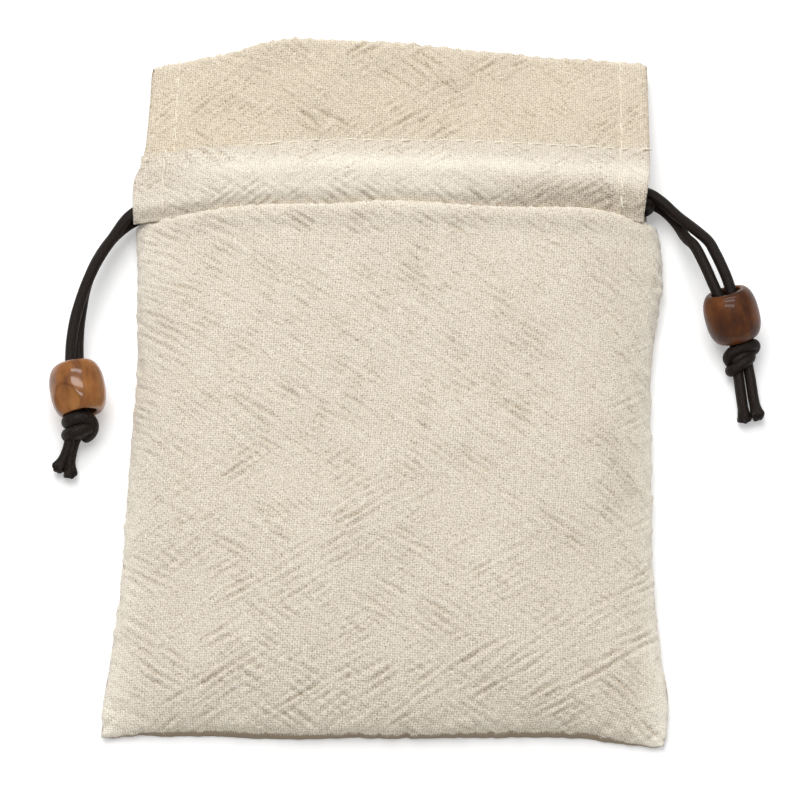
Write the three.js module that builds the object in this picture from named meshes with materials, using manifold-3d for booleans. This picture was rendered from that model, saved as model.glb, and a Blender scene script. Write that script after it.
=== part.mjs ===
// A small drawstring pouch of cotton and linen cloth, lying flat on its back.
// Millimetres. +X is the right side, +Y runs from the bottom seam to the mouth, +Z is up.
// The origin is on the surface that the pouch lies on, under its middle.
//
// Two cloth panels make the pouch. Each carries a casing, which is a doubled tunnel between two
// stitch lines, and a header of doubled cloth above it. Two cords run round the neck in
// opposite directions, and each leaves at one side, through a wooden bead, to a knot.

import * as THREE from 'three';
import { mergeVertices } from 'three/addons/utils/BufferGeometryUtils.js';
import Module from 'manifold-3d';

const wasm = await Module();
wasm.setup();

// Driving dimensions: cloth
const plyThickness = 0.5;
const fitGap = 0.3;              // left between pieces that touch
const creaseY = 36.5;            // place of the lower stitch line of the casing
const pouchLength = 106.5;       // bottom seam to the lower stitch line
const casingWidth = 13.5;        // lower to upper stitch line
const headerLength = 20;         // upper stitch line to the folded top edge
const waistHalfWidth = 48.3;     // half the width at the narrowest, half way up
const footFlare = 2.2;           // how far each bottom corner stands out past the waist
const shoulderFlare = 0.7;       // the same at the crease
const headerHalfWidth = 49;
const allowanceWidth = 6;        // seam allowance turned inside along the sides and the bottom

const joinInset = 0.2;           // how far an allowance starts inside the ply it is joined to
const rimInset = 0.6;            // how far the back panel's rounded rim draws in underneath

// Driving dimensions: how the cloth lies
const seamHeight = 1.3;          // height of the seam between the panels over the surface
const pouchDepth = 9.4;          // how far the front panel swells over the seam
const footReach = 60;            // length over which the front panel swells from the bottom seam
const neckReach = 26;            // length over which the front panel takes the shape of the neck
const neckLift = 4.8;            // how far the front casing arches away from the back one
const neckHalfSpan = 47;         // half the width of that arch
const mouthLift = 11;            // how far the front header's top edge stands open in the middle
const endSag = 2.4;              // how far the neck's left end has slipped towards the bottom
const sagStart = 20;             // from the middle to where that begins
const sagEnd = 50;               // from the middle to where it is whole
const sagCasing = 4.5;           // how much of the casing slips whole, from the lower stitch line

// Driving dimensions: casings
const lipHeight = 1.2;           // the two plies at a stitch line
const stitchMargin = 0.7;        // from a stitch line to the open part of the tunnel
const frontCasingLeft = 49.9;    // how far the front casing reaches to the left
const casingHalfLength = 48.6;   // how far every other casing end reaches
const facingHalfLength = 45.5;   // where the plies that face each other end
const headerGap = 0.5;           // between a casing and its header, where the cloth hinges

// Driving dimensions: cords and beads
const cordDiameter = 2.1;
const cordPlay = 0.45;           // room over and under a cord in its tunnel
const lowLane = 2.6;             // left cord's place in the tunnels, from the lower stitch line
const laneSpacing = 2.6;         // from the left cord to the right cord in the tunnels
const pullSlack = 2;             // how far a cord pulls before its loop meets the cloth
const leftLoopReach = 49.85;     // how far right the left cord's loop stands
const rightLoopReach = 50.5;     // how far left the right cord's loop stands
const cordSides = 8;
const beadDiameter = 10.4;
const beadEndDiameter = 7.8;
const beadLength = 9.6;
const beadBore = 5.4;
const beadChamfer = 0.35;
const beadSides = 28;
const beadRings = 10;
const knotTurnRadius = 1.7;
const knotPitch = 2.1;
const knotTurns = 1.75;

// Worked out from the driving dimensions
const bottomY = creaseY - pouchLength;
const upperStitchY = creaseY + casingWidth;
const topY = upperStitchY + headerLength;
const tunnelHeight = cordDiameter + 2 * cordPlay;
const casingHeight = tunnelHeight + 2 * plyThickness;
const frontCasingBase = casingHeight + fitGap;
const backCordZ = plyThickness + tunnelHeight / 2;
const frontCordZ = frontCasingBase + backCordZ;
const headerThickness = 2 * plyThickness + fitGap;
const frontSeamZ = seamHeight + fitGap;
const cordRadius = cordDiameter / 2;
const leftLaneY = creaseY + lowLane;
const rightLaneY = leftLaneY + laneSpacing;

// Colours and finish
const linen = { color: 0xe3d8c6, roughness: 0.92, metalness: 0 };
const satin = { color: 0x1d140f, roughness: 0.5, metalness: 0 };
const chestnut = { color: 0x8a5327, roughness: 0.22, metalness: 0 };

const bag = new THREE.Group();
bag.name = 'drawstring_bag';

function addPiece(name, geometry, finish) {
  const mesh = new THREE.Mesh(geometry, new THREE.MeshStandardMaterial(finish));
  mesh.name = name;
  bag.add(mesh);
  return mesh;
}

// Closed shapes and joins

function closedGeometry(points, triangles) {
  let volume = 0;
  for (let i = 0; i < triangles.length; i += 3) {
    const [a, b, c] = [0, 1, 2].map((k) => points[triangles[i + k]]);
    volume += a.dot(new THREE.Vector3().crossVectors(b, c));
  }
  const faces = volume > 0 ? triangles : [...triangles].reverse();
  const geometry = new THREE.BufferGeometry().setFromPoints(points);
  geometry.setIndex(faces);
  return geometry;
}

const weldDistance = 1e-4;

function welded(geometry) {
  const bare = geometry.clone();
  bare.deleteAttribute('normal');
  bare.deleteAttribute('uv');
  return mergeVertices(bare, weldDistance);
}

function toSolid(geometry) {
  const merged = welded(geometry);
  return new wasm.Manifold(new wasm.Mesh({
    numProp: 3,
    vertProperties: new Float32Array(merged.attributes.position.array),
    triVerts: new Uint32Array(merged.index.array),
  }));
}

function toGeometry(solid) {
  const mesh = solid.getMesh();
  const geometry = new THREE.BufferGeometry();
  geometry.setAttribute('position', new THREE.BufferAttribute(mesh.vertProperties, 3));
  geometry.setIndex(new THREE.BufferAttribute(mesh.triVerts, 1));
  return geometry;
}

function joined(geometries) {
  return toGeometry(geometries.map(toSolid).reduce((whole, next) => whole.add(next)));
}

function boxBetween(low, high) {
  const size = new THREE.Vector3().subVectors(high, low);
  const geometry = new THREE.BoxGeometry(size.x, size.y, size.z);
  return geometry.translate(low.x + size.x / 2, low.y + size.y / 2, low.z + size.z / 2);
}

// A skin of even thickness: an outer and an inner surface, closed along its four edges
function sheetSolid(outer, inner, across, along) {
  const points = [];
  const at = (side, i, j) => side * (across + 1) * (along + 1) + j * (across + 1) + i;
  for (const surface of [outer, inner]) {
    for (let j = 0; j <= along; j += 1) {
      for (let i = 0; i <= across; i += 1) points.push(surface(2 * i / across - 1, j / along));
    }
  }
  const triangles = [];
  const quad = (a, b, c, d) => triangles.push(a, b, c, a, c, d);
  for (let j = 0; j < along; j += 1) {
    for (let i = 0; i < across; i += 1) {
      quad(at(0, i, j), at(0, i + 1, j), at(0, i + 1, j + 1), at(0, i, j + 1));
      quad(at(1, i, j), at(1, i, j + 1), at(1, i + 1, j + 1), at(1, i + 1, j));
    }
  }
  for (let i = 0; i < across; i += 1) {
    quad(at(0, i, 0), at(1, i, 0), at(1, i + 1, 0), at(0, i + 1, 0));
    quad(at(0, i + 1, along), at(1, i + 1, along), at(1, i, along), at(0, i, along));
  }
  for (let j = 0; j < along; j += 1) {
    quad(at(0, 0, j + 1), at(1, 0, j + 1), at(1, 0, j), at(0, 0, j));
    quad(at(0, across, j), at(1, across, j), at(1, across, j + 1), at(0, across, j + 1));
  }
  return closedGeometry(points, triangles);
}

// A solid through a row of closed outlines that lie across X. With a second row of outlines
// inside the first, it is a tube that is open at both ends.
function loftSolid(stations, outline, hollow) {
  const count = outline(0).length;
  const last = stations.length - 1;
  const points = [];
  const triangles = [];
  const quad = (a, b, c, d) => triangles.push(a, b, c, a, c, d);
  const rows = hollow ? [outline, hollow] : [outline];
  rows.forEach((row) => {
    for (const x of stations) {
      for (const [y, z] of row(x)) points.push(new THREE.Vector3(x, y, z));
    }
  });
  const at = (row, k, i) => (row * stations.length + k) * count + (i % count);
  for (let k = 0; k < last; k += 1) {
    for (let i = 0; i < count; i += 1) {
      quad(at(0, k, i), at(0, k, i + 1), at(0, k + 1, i + 1), at(0, k + 1, i));
      if (hollow) quad(at(1, k, i), at(1, k + 1, i), at(1, k + 1, i + 1), at(1, k, i + 1));
    }
  }
  if (hollow) {
    for (let i = 0; i < count; i += 1) {
      quad(at(0, 0, i), at(1, 0, i), at(1, 0, i + 1), at(0, 0, i + 1));
      quad(at(0, last, i + 1), at(1, last, i + 1), at(1, last, i), at(0, last, i));
    }
  } else {
    [0, last].forEach((k) => {
      const flat = outline(stations[k]).map(([y, z]) => new THREE.Vector2(y, z));
      const followsRing = THREE.ShapeUtils.area(flat) > 0;
      THREE.ShapeUtils.triangulateShape(flat, []).forEach((corners) => {
        if ((k === last) !== followsRing) corners.reverse();
        triangles.push(...corners.map((i) => at(0, k, i)));
      });
    });
  }
  return closedGeometry(points, triangles);
}

function evenStations(low, high, count) {
  return Array.from({ length: count + 1 }, (_, k) => low + (high - low) * k / count);
}

// The pouch

function smoothStep(low, high, value) {
  return THREE.MathUtils.smoothstep(value, low, high);
}

// How far the cloth and cord at a place in the neck have slipped with its left end
function leftSag(x, y) {
  const out = smoothStep(sagStart, sagEnd, -x);
  const above = smoothStep(creaseY - neckReach, creaseY - lipHeight, y);
  const below = 1 - smoothStep(creaseY + sagCasing, upperStitchY, y);
  return -endSag * out * above * below;
}

function sagged(geometry) {
  const place = geometry.attributes.position;
  for (let i = 0; i < place.count; i += 1) {
    place.setY(i, place.getY(i) + leftSag(place.getX(i), place.getY(i)));
  }
  return geometry;
}

function halfWidth(y) {
  const down = Math.max(0, -y) / -bottomY;
  const up = Math.max(0, y) / creaseY;
  return waistHalfWidth + footFlare * down ** 3 + shoulderFlare * up ** 2;
}

// Height of the front casing's underside over its place at the sides
function neckArch(x) {
  const share = Math.min(1, Math.abs(x) / neckHalfSpan);
  return neckLift * (1 + Math.cos(Math.PI * share ** 2)) / 2;
}

function domeHeight(share, y, depth) {
  const rise = Math.min(1, Math.max(0, y - bottomY) / footReach);
  const lengthwise = (1 - (1 - rise) ** 3) ** 0.6;
  return depth * lengthwise * Math.sqrt(Math.max(0, 1 - share ** 4));
}

// The front panel's surface, drawn in from the cloth's outer face by an inset
function frontSurface(inset) {
  const endY = creaseY - fitGap;
  const startY = bottomY + inset;
  return (acrossShare, alongShare) => {
    const share = Math.sin(acrossShare * Math.PI / 2);
    const y = startY + (endY - startY) * (1 - Math.cos(alongShare * Math.PI / 2)) ** 0.8;
    const x = share * (halfWidth(y) - inset);
    const dome = domeHeight(share, y - inset, pouchDepth - inset);
    const rim = frontCasingBase + neckArch(x) + lipHeight + fitGap - frontSeamZ - inset;
    const neck = rim * Math.sqrt(Math.max(0, 1 - share ** 12));
    const toNeck = smoothStep(creaseY - neckReach, creaseY, y);
    return new THREE.Vector3(x, y, frontSeamZ + dome * (1 - toNeck) + neck * toNeck);
  };
}

const sideSteps = 12;

function panelOutline(inset) {
  const rows = evenStations(creaseY - fitGap, bottomY + inset, sideSteps);
  const left = rows.map((y) => new THREE.Vector2(-(halfWidth(y) - inset), y));
  const right = rows.map((y) => new THREE.Vector2(halfWidth(y) - inset, y)).reverse();
  return [...left, ...right];
}

// The neck edge of a panel, between its two corners
const neckSteps = 12;

function neckEdge(inset) {
  const y = creaseY - fitGap;
  const corner = halfWidth(y) - inset;
  return evenStations(corner, -corner, neckSteps).slice(1, -1).map((x) => new THREE.Vector2(x, y));
}

function flatCloth(outline, low, high) {
  const geometry = new THREE.ExtrudeGeometry(new THREE.Shape(outline), {
    depth: high - low, bevelEnabled: false,
  });
  return geometry.translate(0, 0, low);
}

// A strip of the given width inside the pouch's outline, open towards the neck
function seamStrip(outerInset, innerInset, low, high) {
  const outline = [...panelOutline(outerInset), ...panelOutline(innerInset).reverse()];
  return flatCloth(outline, low, high);
}

const shellAcross = 24;
const shellAlong = 20;
const frontShell = sheetSolid(
  frontSurface(0), frontSurface(plyThickness), shellAcross, shellAlong,
);
const frontAllowance = seamStrip(
  joinInset, allowanceWidth, frontSeamZ, frontSeamZ + plyThickness,
);
addPiece('front_panel', sagged(joined([frontShell, frontAllowance])), linen);

const backFloor = flatCloth([...panelOutline(rimInset), ...neckEdge(rimInset)], 0, plyThickness);
const backRim = seamStrip(0, rimInset + plyThickness, plyThickness / 2, seamHeight);
const backAllowance = seamStrip(
  joinInset, allowanceWidth, seamHeight - plyThickness, seamHeight,
);
addPiece('back_panel', sagged(joined([backFloor, backRim, backAllowance])), linen);

// The casings: a flat ply, and one that bulges over the cords

const ridgeShares = [0, 0.04, 0.1, 0.2, 0.33, 0.48, 0.63, 0.78, 0.9, 0.97, 1];
const flatShares = [1, 0.66, 0.33, 0];

function ridge(share) {
  const bulge = Math.max(0, Math.sin(Math.PI * share ** 0.78)) ** 0.26;
  return lipHeight + (casingHeight - lipHeight) * bulge;
}

function casingOutline(base) {
  return (x) => [
    ...ridgeShares.map((share) => [creaseY + casingWidth * share, base(x) + ridge(share)]),
    ...flatShares.map((share) => [creaseY + casingWidth * share, base(x)]),
  ];
}

function tunnelOutline(base) {
  const width = casingWidth - 2 * stitchMargin;
  const place = (share) => creaseY + stitchMargin + width * share;
  const roof = (share) => {
    const over = ridge((place(share) - creaseY) / casingWidth) - plyThickness;
    return Math.max(over, plyThickness + fitGap);
  };
  return (x) => [
    ...ridgeShares.map((share) => [place(share), base(x) + roof(share)]),
    ...flatShares.map((share) => [place(share), base(x) + plyThickness]),
  ];
}

const flatCasingSteps = 16;
const archedCasingSteps = 22;
const trimDepth = 0.1;
const trimOver = 1;

// The ply that faces the other casing ends short of the outer one, and the loops turn there
function trimmedFacing(geometry, low, high) {
  const reach = frontCasingLeft + trimOver;
  const cutters = [-1, 1].map((side) => toSolid(boxBetween(
    new THREE.Vector3(side < 0 ? -reach : facingHalfLength, creaseY - trimOver, low),
    new THREE.Vector3(side < 0 ? -facingHalfLength : reach, upperStitchY + trimOver, high),
  )));
  return toGeometry(cutters.reduce((rest, cutter) => rest.subtract(cutter), toSolid(geometry)));
}

const onBack = () => 0;
const onFront = (x) => frontCasingBase + neckArch(x);
const backCasing = loftSolid(
  evenStations(-casingHalfLength, casingHalfLength, flatCasingSteps),
  casingOutline(onBack),
  tunnelOutline(onBack),
);
const frontCasing = loftSolid(
  evenStations(-frontCasingLeft, casingHalfLength, archedCasingSteps),
  casingOutline(onFront),
  tunnelOutline(onFront),
);
addPiece(
  'back_casing',
  sagged(trimmedFacing(backCasing, plyThickness + trimDepth, casingHeight + trimOver)),
  linen,
);
const frontFacingTop = frontCasingBase + plyThickness + trimDepth;
addPiece(
  'front_casing',
  sagged(trimmedFacing(frontCasing, frontCasingBase - trimOver, frontFacingTop)),
  linen,
);

// The headers: one cloth folded over at the top edge, with a slit between its plies

const headerShares = [0, 0.2, 0.4, 0.6, 0.8, 1];
const slitStop = 0.1;

function headerOutline(rootZ, topZ) {
  const rootY = upperStitchY + headerGap;
  const foldRadius = headerThickness / 2;
  const foldY = topY - foldRadius;
  const slit = fitGap / 2;
  return (x) => {
    const middle = (share) => THREE.MathUtils.lerp(rootZ(x), topZ(x), share ** 1.3) + foldRadius;
    const row = (offset, endY) => headerShares.map(
      (share) => [THREE.MathUtils.lerp(rootY, endY, share), middle(share) + offset],
    );
    const fold = [60, 20, -20, -60].map((degrees) => {
      const angle = THREE.MathUtils.degToRad(degrees);
      return [foldY + foldRadius * Math.cos(angle), middle(1) + foldRadius * Math.sin(angle)];
    });
    const slitEnd = foldY - slitStop;
    return [
      ...row(foldRadius, foldY),
      ...fold,
      ...row(-foldRadius, foldY).reverse(),
      ...row(-slit, slitEnd),
      ...row(slit, slitEnd).reverse(),
    ];
  };
}

// The top edge of the front header rests on the back one at the sides and opens in the middle
function mouthZ(x) {
  const share = Math.min(1, Math.abs(x) / headerHalfWidth);
  return headerThickness + fitGap + mouthLift * (1 - share ** 2.2);
}

const headerSteps = 16;
const headerStations = evenStations(-headerHalfWidth, headerHalfWidth, headerSteps);
addPiece('back_header', loftSolid(headerStations, headerOutline(onBack, onBack)), linen);
addPiece('front_header', loftSolid(headerStations, headerOutline(onFront, mouthZ)), linen);

// Cords: round section, one step from each chosen point to the next

class CordRoute extends THREE.CatmullRomCurve3 {
  constructor(points) {
    super(points.map((p) => new THREE.Vector3(...p)), false, 'centripetal');
  }

  getUtoTmapping(u) {
    return u;
  }
}

function cordGeometry(route, steps) {
  const section = new THREE.Shape();
  section.absarc(0, 0, cordRadius, 0, 2 * Math.PI, false);
  return new THREE.ExtrudeGeometry(section, {
    curveSegments: cordSides / 2, steps, extrudePath: route,
  });
}

function addCord(name, points) {
  const route = new CordRoute(points);
  addPiece(name, cordGeometry(route, points.length - 1), satin);
  return route;
}

// A cord's stretch in the tunnels: along the front casing, round the far end, back along the
// back casing. Side +1 leaves at the right. Its arch is set for half the slack, so that the
// cord stays inside its tunnel as it is pulled.
const runStart = 44;
const runSteps = 20;
const turnSteps = 6;

function tunnelRun(side, laneY, loopReach) {
  const turnRadius = (frontCordZ - backCordZ) / 2;
  const turnX = -side * (loopReach - turnRadius - cordRadius);
  const stations = evenStations(side * runStart, turnX, runSteps);
  const front = stations.map((x) => [x, laneY, frontCordZ + neckArch(x + side * pullSlack / 2)]);
  const turn = Array.from({ length: turnSteps - 1 }, (_, k) => {
    const angle = Math.PI * (k + 1) / turnSteps;
    return [
      turnX - side * turnRadius * Math.sin(angle),
      laneY,
      (frontCordZ + backCordZ) / 2 + turnRadius * Math.cos(angle),
    ];
  });
  const back = [...stations].reverse().map((x) => [x, laneY, backCordZ]);
  return [...front, ...turn, ...back].map(([x, y, z]) => [x, y + leftSag(x, y), z]);
}

addCord('right_drawcord_run', tunnelRun(1, rightLaneY, rightLoopReach));
addCord('left_drawcord_run', tunnelRun(-1, leftLaneY, leftLoopReach));

// The free strands, from inside the casing's end to the knot. The left pair bends flat round
// the left curve's centre, one strand over the other; the right pair goes side by side over a
// hump whose centre is under the surface.
const leftFrontRoute = [
  [-44.3, 36.9, 6.3], [-45.8, 36.82, 6.2], [-47.2, 36.72, 5.97], [-48.6, 36.48, 5.68],
  [-49.95, 35.92, 5.42], [-51.15, 34.98, 5.23], [-52.2, 33.65, 5.17], [-53.15, 31.9, 5.25],
  [-54.2, 29.8, 5.5], [-55.38, 27.5, 5.85], [-56.45, 25.15, 6.15], [-57.35, 22.85, 6.35],
  [-58.49, 19.42, 6.35], [-59.39, 15.91, 6.34], [-60.1, 12.34, 6.31], [-60.48, 8.72, 6.23],
  [-60.56, 5.06, 6.15], [-60.31, 1.4, 6.1], [-59.71, -2.22, 6.08], [-59.15, -4.6, 6.07],
];
const leftBackRoute = [
  [-44.3, 36.9, 2], [-46, 36.78, 2], [-47.6, 36.58, 2], [-49, 36.18, 2.1], [-50.35, 35.45, 2.3],
  [-51.7, 34.38, 2.5], [-53, 33, 2.75], [-54.35, 31.25, 3], [-55.6, 29.1, 3.35],
  [-56.7, 26.75, 3.7], [-57.6, 24.35, 3.95], [-58.4, 21.6, 4.12], [-58.95, 18.8, 4.15],
  [-59.24, 15.89, 4.16], [-59.5, 12.28, 4.19], [-59.51, 8.69, 4.27], [-59.31, 5.13, 4.35],
  [-58.91, 1.59, 4.4], [-58.28, -1.91, 4.42], [-57.71, -4.21, 4.43],
];
const rightFrontRoute = [
  [44.3, 41.7, 6.3], [46.3, 41.65, 6.2], [48, 41.4, 5.9], [49.45, 40.95, 5.5], [50.8, 40.1, 5.15],
  [52.05, 39, 5], [53.25, 37.6, 5.15], [54.5, 36.05, 5.6], [55.95, 34.35, 6.35],
  [57.5, 32.45, 7.2], [59.66, 29.53, 8.32], [60.71, 27, 8.85], [61.73, 24.41, 9],
  [62.86, 21.49, 8.7], [63.81, 18.61, 7.91], [64.69, 16.19, 6.82], [65.45, 14.23, 5.58],
  [65.85, 13.17, 4.76],
];
const rightBackRoute = [
  [44.3, 41.7, 2], [46.3, 41.62, 2], [48, 41.35, 2], [49.5, 40.85, 2], [50.85, 40.1, 2.1],
  [52, 39.1, 2.3], [53, 37.85, 2.6], [53.9, 36.4, 3.05], [54.6, 34.8, 3.7], [55.15, 33.05, 4.7],
  [55.8, 31.05, 6.3], [56.95, 28.75, 8], [59, 23.35, 9], [60.15, 20.45, 8.7], [61.45, 17.7, 7.91],
  [62.45, 15.33, 6.82], [63.21, 13.36, 5.58], [63.61, 12.31, 4.76],
];
const leftStrands = [
  addCord('left_strand_front', leftFrontRoute),
  addCord('left_strand_back', leftBackRoute),
];
const rightStrands = [
  addCord('right_strand_front', rightFrontRoute),
  addCord('right_strand_back', rightBackRoute),
];

// Beads: turned barrels with a chamfered bore, on the curve that their strands follow

const leftCurveCentre = new THREE.Vector3(-14, 7.5, 5.25);
const leftCurveRadius = 46;
const leftBeadAngle = -12;
const humpCentre = new THREE.Vector3(60.3, 24.23, -11);
const humpRadius = 20;
const humpDirection = new THREE.Vector3(-0.36, 0.933, 0).normalize();
const rightBeadAngle = -30;

function beadGeometry() {
  const bulge = (beadDiameter - beadEndDiameter) / 2;
  const half = beadLength / 2;
  const wall = evenStations(-half, half, beadRings).map(
    (s) => new THREE.Vector2(beadEndDiameter / 2 + bulge * Math.sqrt(1 - (s / half) ** 2), s),
  );
  const bore = beadBore / 2;
  const profile = [
    new THREE.Vector2(bore + beadChamfer, -half),
    ...wall,
    new THREE.Vector2(bore + beadChamfer, half),
    new THREE.Vector2(bore, half - beadChamfer),
    new THREE.Vector2(bore, -half + beadChamfer),
    new THREE.Vector2(bore + beadChamfer, -half),
  ];
  const turned = welded(new THREE.LatheGeometry(profile, beadSides));
  const place = turned.attributes.position;
  const points = Array.from(
    { length: place.count },
    (_, i) => new THREE.Vector3().fromBufferAttribute(place, i),
  );
  return closedGeometry(points, Array.from(turned.index.array));
}

// A bead sits inside the bend by half the rise of the strands over its length
function addBead(name, centre, radius, inward, along) {
  const rise = beadLength ** 2 / (8 * radius);
  const mesh = addPiece(name, beadGeometry(), chestnut);
  mesh.position.copy(centre).addScaledVector(inward, rise / 2 - radius);
  mesh.quaternion.setFromUnitVectors(new THREE.Vector3(0, 1, 0), along);
}

const up = new THREE.Vector3(0, 0, 1);
const leftAngle = THREE.MathUtils.degToRad(leftBeadAngle);
addBead(
  'left_bead', leftCurveCentre, leftCurveRadius,
  new THREE.Vector3(Math.cos(leftAngle), -Math.sin(leftAngle), 0),
  new THREE.Vector3(Math.sin(leftAngle), Math.cos(leftAngle), 0),
);
const rightAngle = THREE.MathUtils.degToRad(rightBeadAngle);
addBead(
  'right_bead', humpCentre, humpRadius,
  humpDirection.clone().multiplyScalar(-Math.sin(rightAngle)).addScaledVector(up, -Math.cos(rightAngle)),
  humpDirection.clone().multiplyScalar(Math.cos(rightAngle)).addScaledVector(up, -Math.sin(rightAngle)),
);

// Knots: both strands run on through the knot as its tails, and wind round themselves

const leftTails = [
  [[-58.4, -7.7, 5.2], [-58.5, -10.0, 3.8], [-59.0, -12.6, 2.3], [-60.2, -14.8, 1.5], [-61.6, -16.9, 1.2]],
  [[-57.1, -7.2, 3.9], [-56.9, -9.6, 2.9], [-57.5, -12.4, 2.2], [-58.2, -15.0, 1.4], [-58.7, -17.5, 1.2]],
];
const rightTails = [
  [[66.8, 10.4, 3.0], [66.9, 8.0, 2.5], [67.3, 4.9, 2.0], [68.2, 1.6, 1.4], [69.3, -2.9, 1.2]],
  [[64.7, 9.6, 3.0], [65.0, 7.4, 2.4], [65.7, 4.7, 1.9], [66.5, 1.2, 1.4], [67.0, -4.2, 1.2]],
];

const windingSteps = 18;
const endTuck = 0.5;

function windingPoints(centre, along) {
  const side = new THREE.Vector3().crossVectors(along, up).normalize();
  const rise = new THREE.Vector3().crossVectors(side, along);
  return Array.from({ length: windingSteps + 1 }, (_, k) => {
    const share = k / windingSteps;
    const angle = 2 * Math.PI * knotTurns * share;
    const tuck = k === 0 || k === windingSteps ? endTuck : 1;
    return centre.clone()
      .addScaledVector(along, knotPitch * knotTurns * (share - 0.5))
      .addScaledVector(side, tuck * knotTurnRadius * Math.cos(angle))
      .addScaledVector(rise, tuck * knotTurnRadius * Math.sin(angle))
      .toArray();
  });
}

const tailSteps = 9;

function addKnot(name, strands, tails, centre, along) {
  const cords = strands.map((strand, k) => {
    const start = strand.getPoint(1).addScaledVector(strand.getTangent(1), fitGap);
    return new CordRoute([start.toArray(), ...tails[k]]);
  });
  const winding = new CordRoute(windingPoints(centre, along));
  addPiece(name, joined([
    ...cords.map((route) => cordGeometry(route, tailSteps)),
    cordGeometry(winding, windingSteps),
  ]), satin);
}

const leftKnotCentre = new THREE.Vector3(-57.8, -10.5, 3.2);
const leftKnotAxis = new THREE.Vector3(-0.1, -0.93, -0.35).normalize();
const rightKnotCentre = new THREE.Vector3(66, 7, 2.9);
const rightKnotAxis = new THREE.Vector3(0.15, -0.97, -0.12).normalize();
addKnot('left_knot', leftStrands, leftTails, leftKnotCentre, leftKnotAxis);
addKnot('right_knot', rightStrands, rightTails, rightKnotCentre, rightKnotAxis);

export default bag;
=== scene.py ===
# A small drawstring pouch of cotton and linen cloth, lying flat on its back, with two dark
# satin cords, two wooden beads and knotted cord ends.
# Shapes are worked out in millimetres in the frame of the solids, and made in metres:
# +X is the pouch's right side, +Y runs from its bottom seam to its mouth, +Z is up.

import math

import bpy
import numpy as np
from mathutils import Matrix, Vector


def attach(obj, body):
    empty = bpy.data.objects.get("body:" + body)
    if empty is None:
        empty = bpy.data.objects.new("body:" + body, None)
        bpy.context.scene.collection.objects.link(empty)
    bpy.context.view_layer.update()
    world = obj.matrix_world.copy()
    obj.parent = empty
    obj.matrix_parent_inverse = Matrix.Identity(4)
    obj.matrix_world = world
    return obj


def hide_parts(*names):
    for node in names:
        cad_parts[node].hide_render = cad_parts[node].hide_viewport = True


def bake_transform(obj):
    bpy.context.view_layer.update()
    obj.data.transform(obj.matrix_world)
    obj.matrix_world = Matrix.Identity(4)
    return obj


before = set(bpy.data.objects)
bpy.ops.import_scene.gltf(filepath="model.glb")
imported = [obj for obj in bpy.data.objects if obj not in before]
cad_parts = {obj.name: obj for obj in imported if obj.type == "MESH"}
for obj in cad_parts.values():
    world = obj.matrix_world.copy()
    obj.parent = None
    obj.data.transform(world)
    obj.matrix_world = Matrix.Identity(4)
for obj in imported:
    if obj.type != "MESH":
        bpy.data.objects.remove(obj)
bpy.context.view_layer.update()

MM = 0.001
UV_MM = 100.0               # mm of cloth or cord in one unit of a UV map
scene = bpy.context.scene
scene.view_settings.view_transform = "Standard"


# ---- Camera, at the photograph's angle

CAMERA_AZIMUTH = 0.905
CAMERA_ELEVATION = 64.5
CAMERA_DISTANCE = 0.620
CAMERA_TARGET = Vector((0.001385, -0.000752, 0.0))
CAMERA_LENS = 147.9


def place_camera():
    turn, rise = math.radians(CAMERA_AZIMUTH), math.radians(CAMERA_ELEVATION)
    back = Vector((
        math.sin(turn) * math.cos(rise),
        -math.cos(turn) * math.cos(rise),
        math.sin(rise),
    ))
    data = bpy.data.cameras.new("camera")
    data.lens = CAMERA_LENS
    data.sensor_width = 36.0
    data.clip_start = 0.01
    data.clip_end = 20.0
    camera = bpy.data.objects.new("camera", data)
    scene.collection.objects.link(camera)
    camera.location = CAMERA_TARGET + back * CAMERA_DISTANCE
    camera.rotation_mode = "QUATERNION"
    camera.rotation_quaternion = (-back).to_track_quat("-Z", "Y")
    scene.camera = camera


place_camera()


# ---- Small helpers for curves, meshes and nodes

def smooth(low, high, value):
    share = np.clip((np.asarray(value, float) - low) / (high - low), 0.0, 1.0)
    return share * share * (3.0 - 2.0 * share)


def hump(value, centre, width):
    return np.exp(-(((np.asarray(value, float) - centre) / width) ** 2))


def mix(a, b, share):
    return a + (b - a) * share


def unit(direction):
    direction = np.asarray(direction, float)
    return direction / np.linalg.norm(direction)


def lengths_along(line):
    """The length from a line's start to each of its points."""
    return np.concatenate([[0.0], np.cumsum(np.linalg.norm(np.diff(line, axis=0), axis=1))])


def soft_curve(points, spread):
    """A rounded line through (place, value) points, as a function of the place."""
    places, values = zip(*sorted(points))
    step = 0.25
    fine = np.arange(places[0] - 20.0, places[-1] + 20.0, step)
    reach = np.arange(-4 * spread, 4 * spread + step, step)
    weights = np.exp(-0.5 * (reach / spread) ** 2)
    raw = np.interp(fine, places, values)
    padded = np.pad(raw, len(reach) // 2, mode="edge")
    even = np.convolve(padded, weights / weights.sum(), mode="same")
    even = even[len(reach) // 2:len(reach) // 2 + len(fine)]
    return lambda place: np.interp(place, fine, even)


def make_node(tree, kind, inputs=None, **settings):
    """A node with its settings; an input is given as a number or as the socket it comes from."""
    node = tree.nodes.new(kind)
    for name, value in settings.items():
        setattr(node, name, value)
    for name, value in (inputs or {}).items():
        if isinstance(value, bpy.types.NodeSocket):
            tree.links.new(value, node.inputs[name])
        else:
            node.inputs[name].default_value = value
    return node


def math_node(tree, operation, a, b=None):
    inputs = {0: a} if b is None else {0: a, 1: b}
    return make_node(tree, "ShaderNodeMath", inputs, operation=operation).outputs[0]


def weighted_sum(tree, *terms):
    """The sum of (socket, weight) terms."""
    value = None
    for socket, weight in terms:
        scaled = math_node(tree, "MULTIPLY", socket, weight)
        value = scaled if value is None else math_node(tree, "ADD", value, scaled)
    return value


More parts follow.
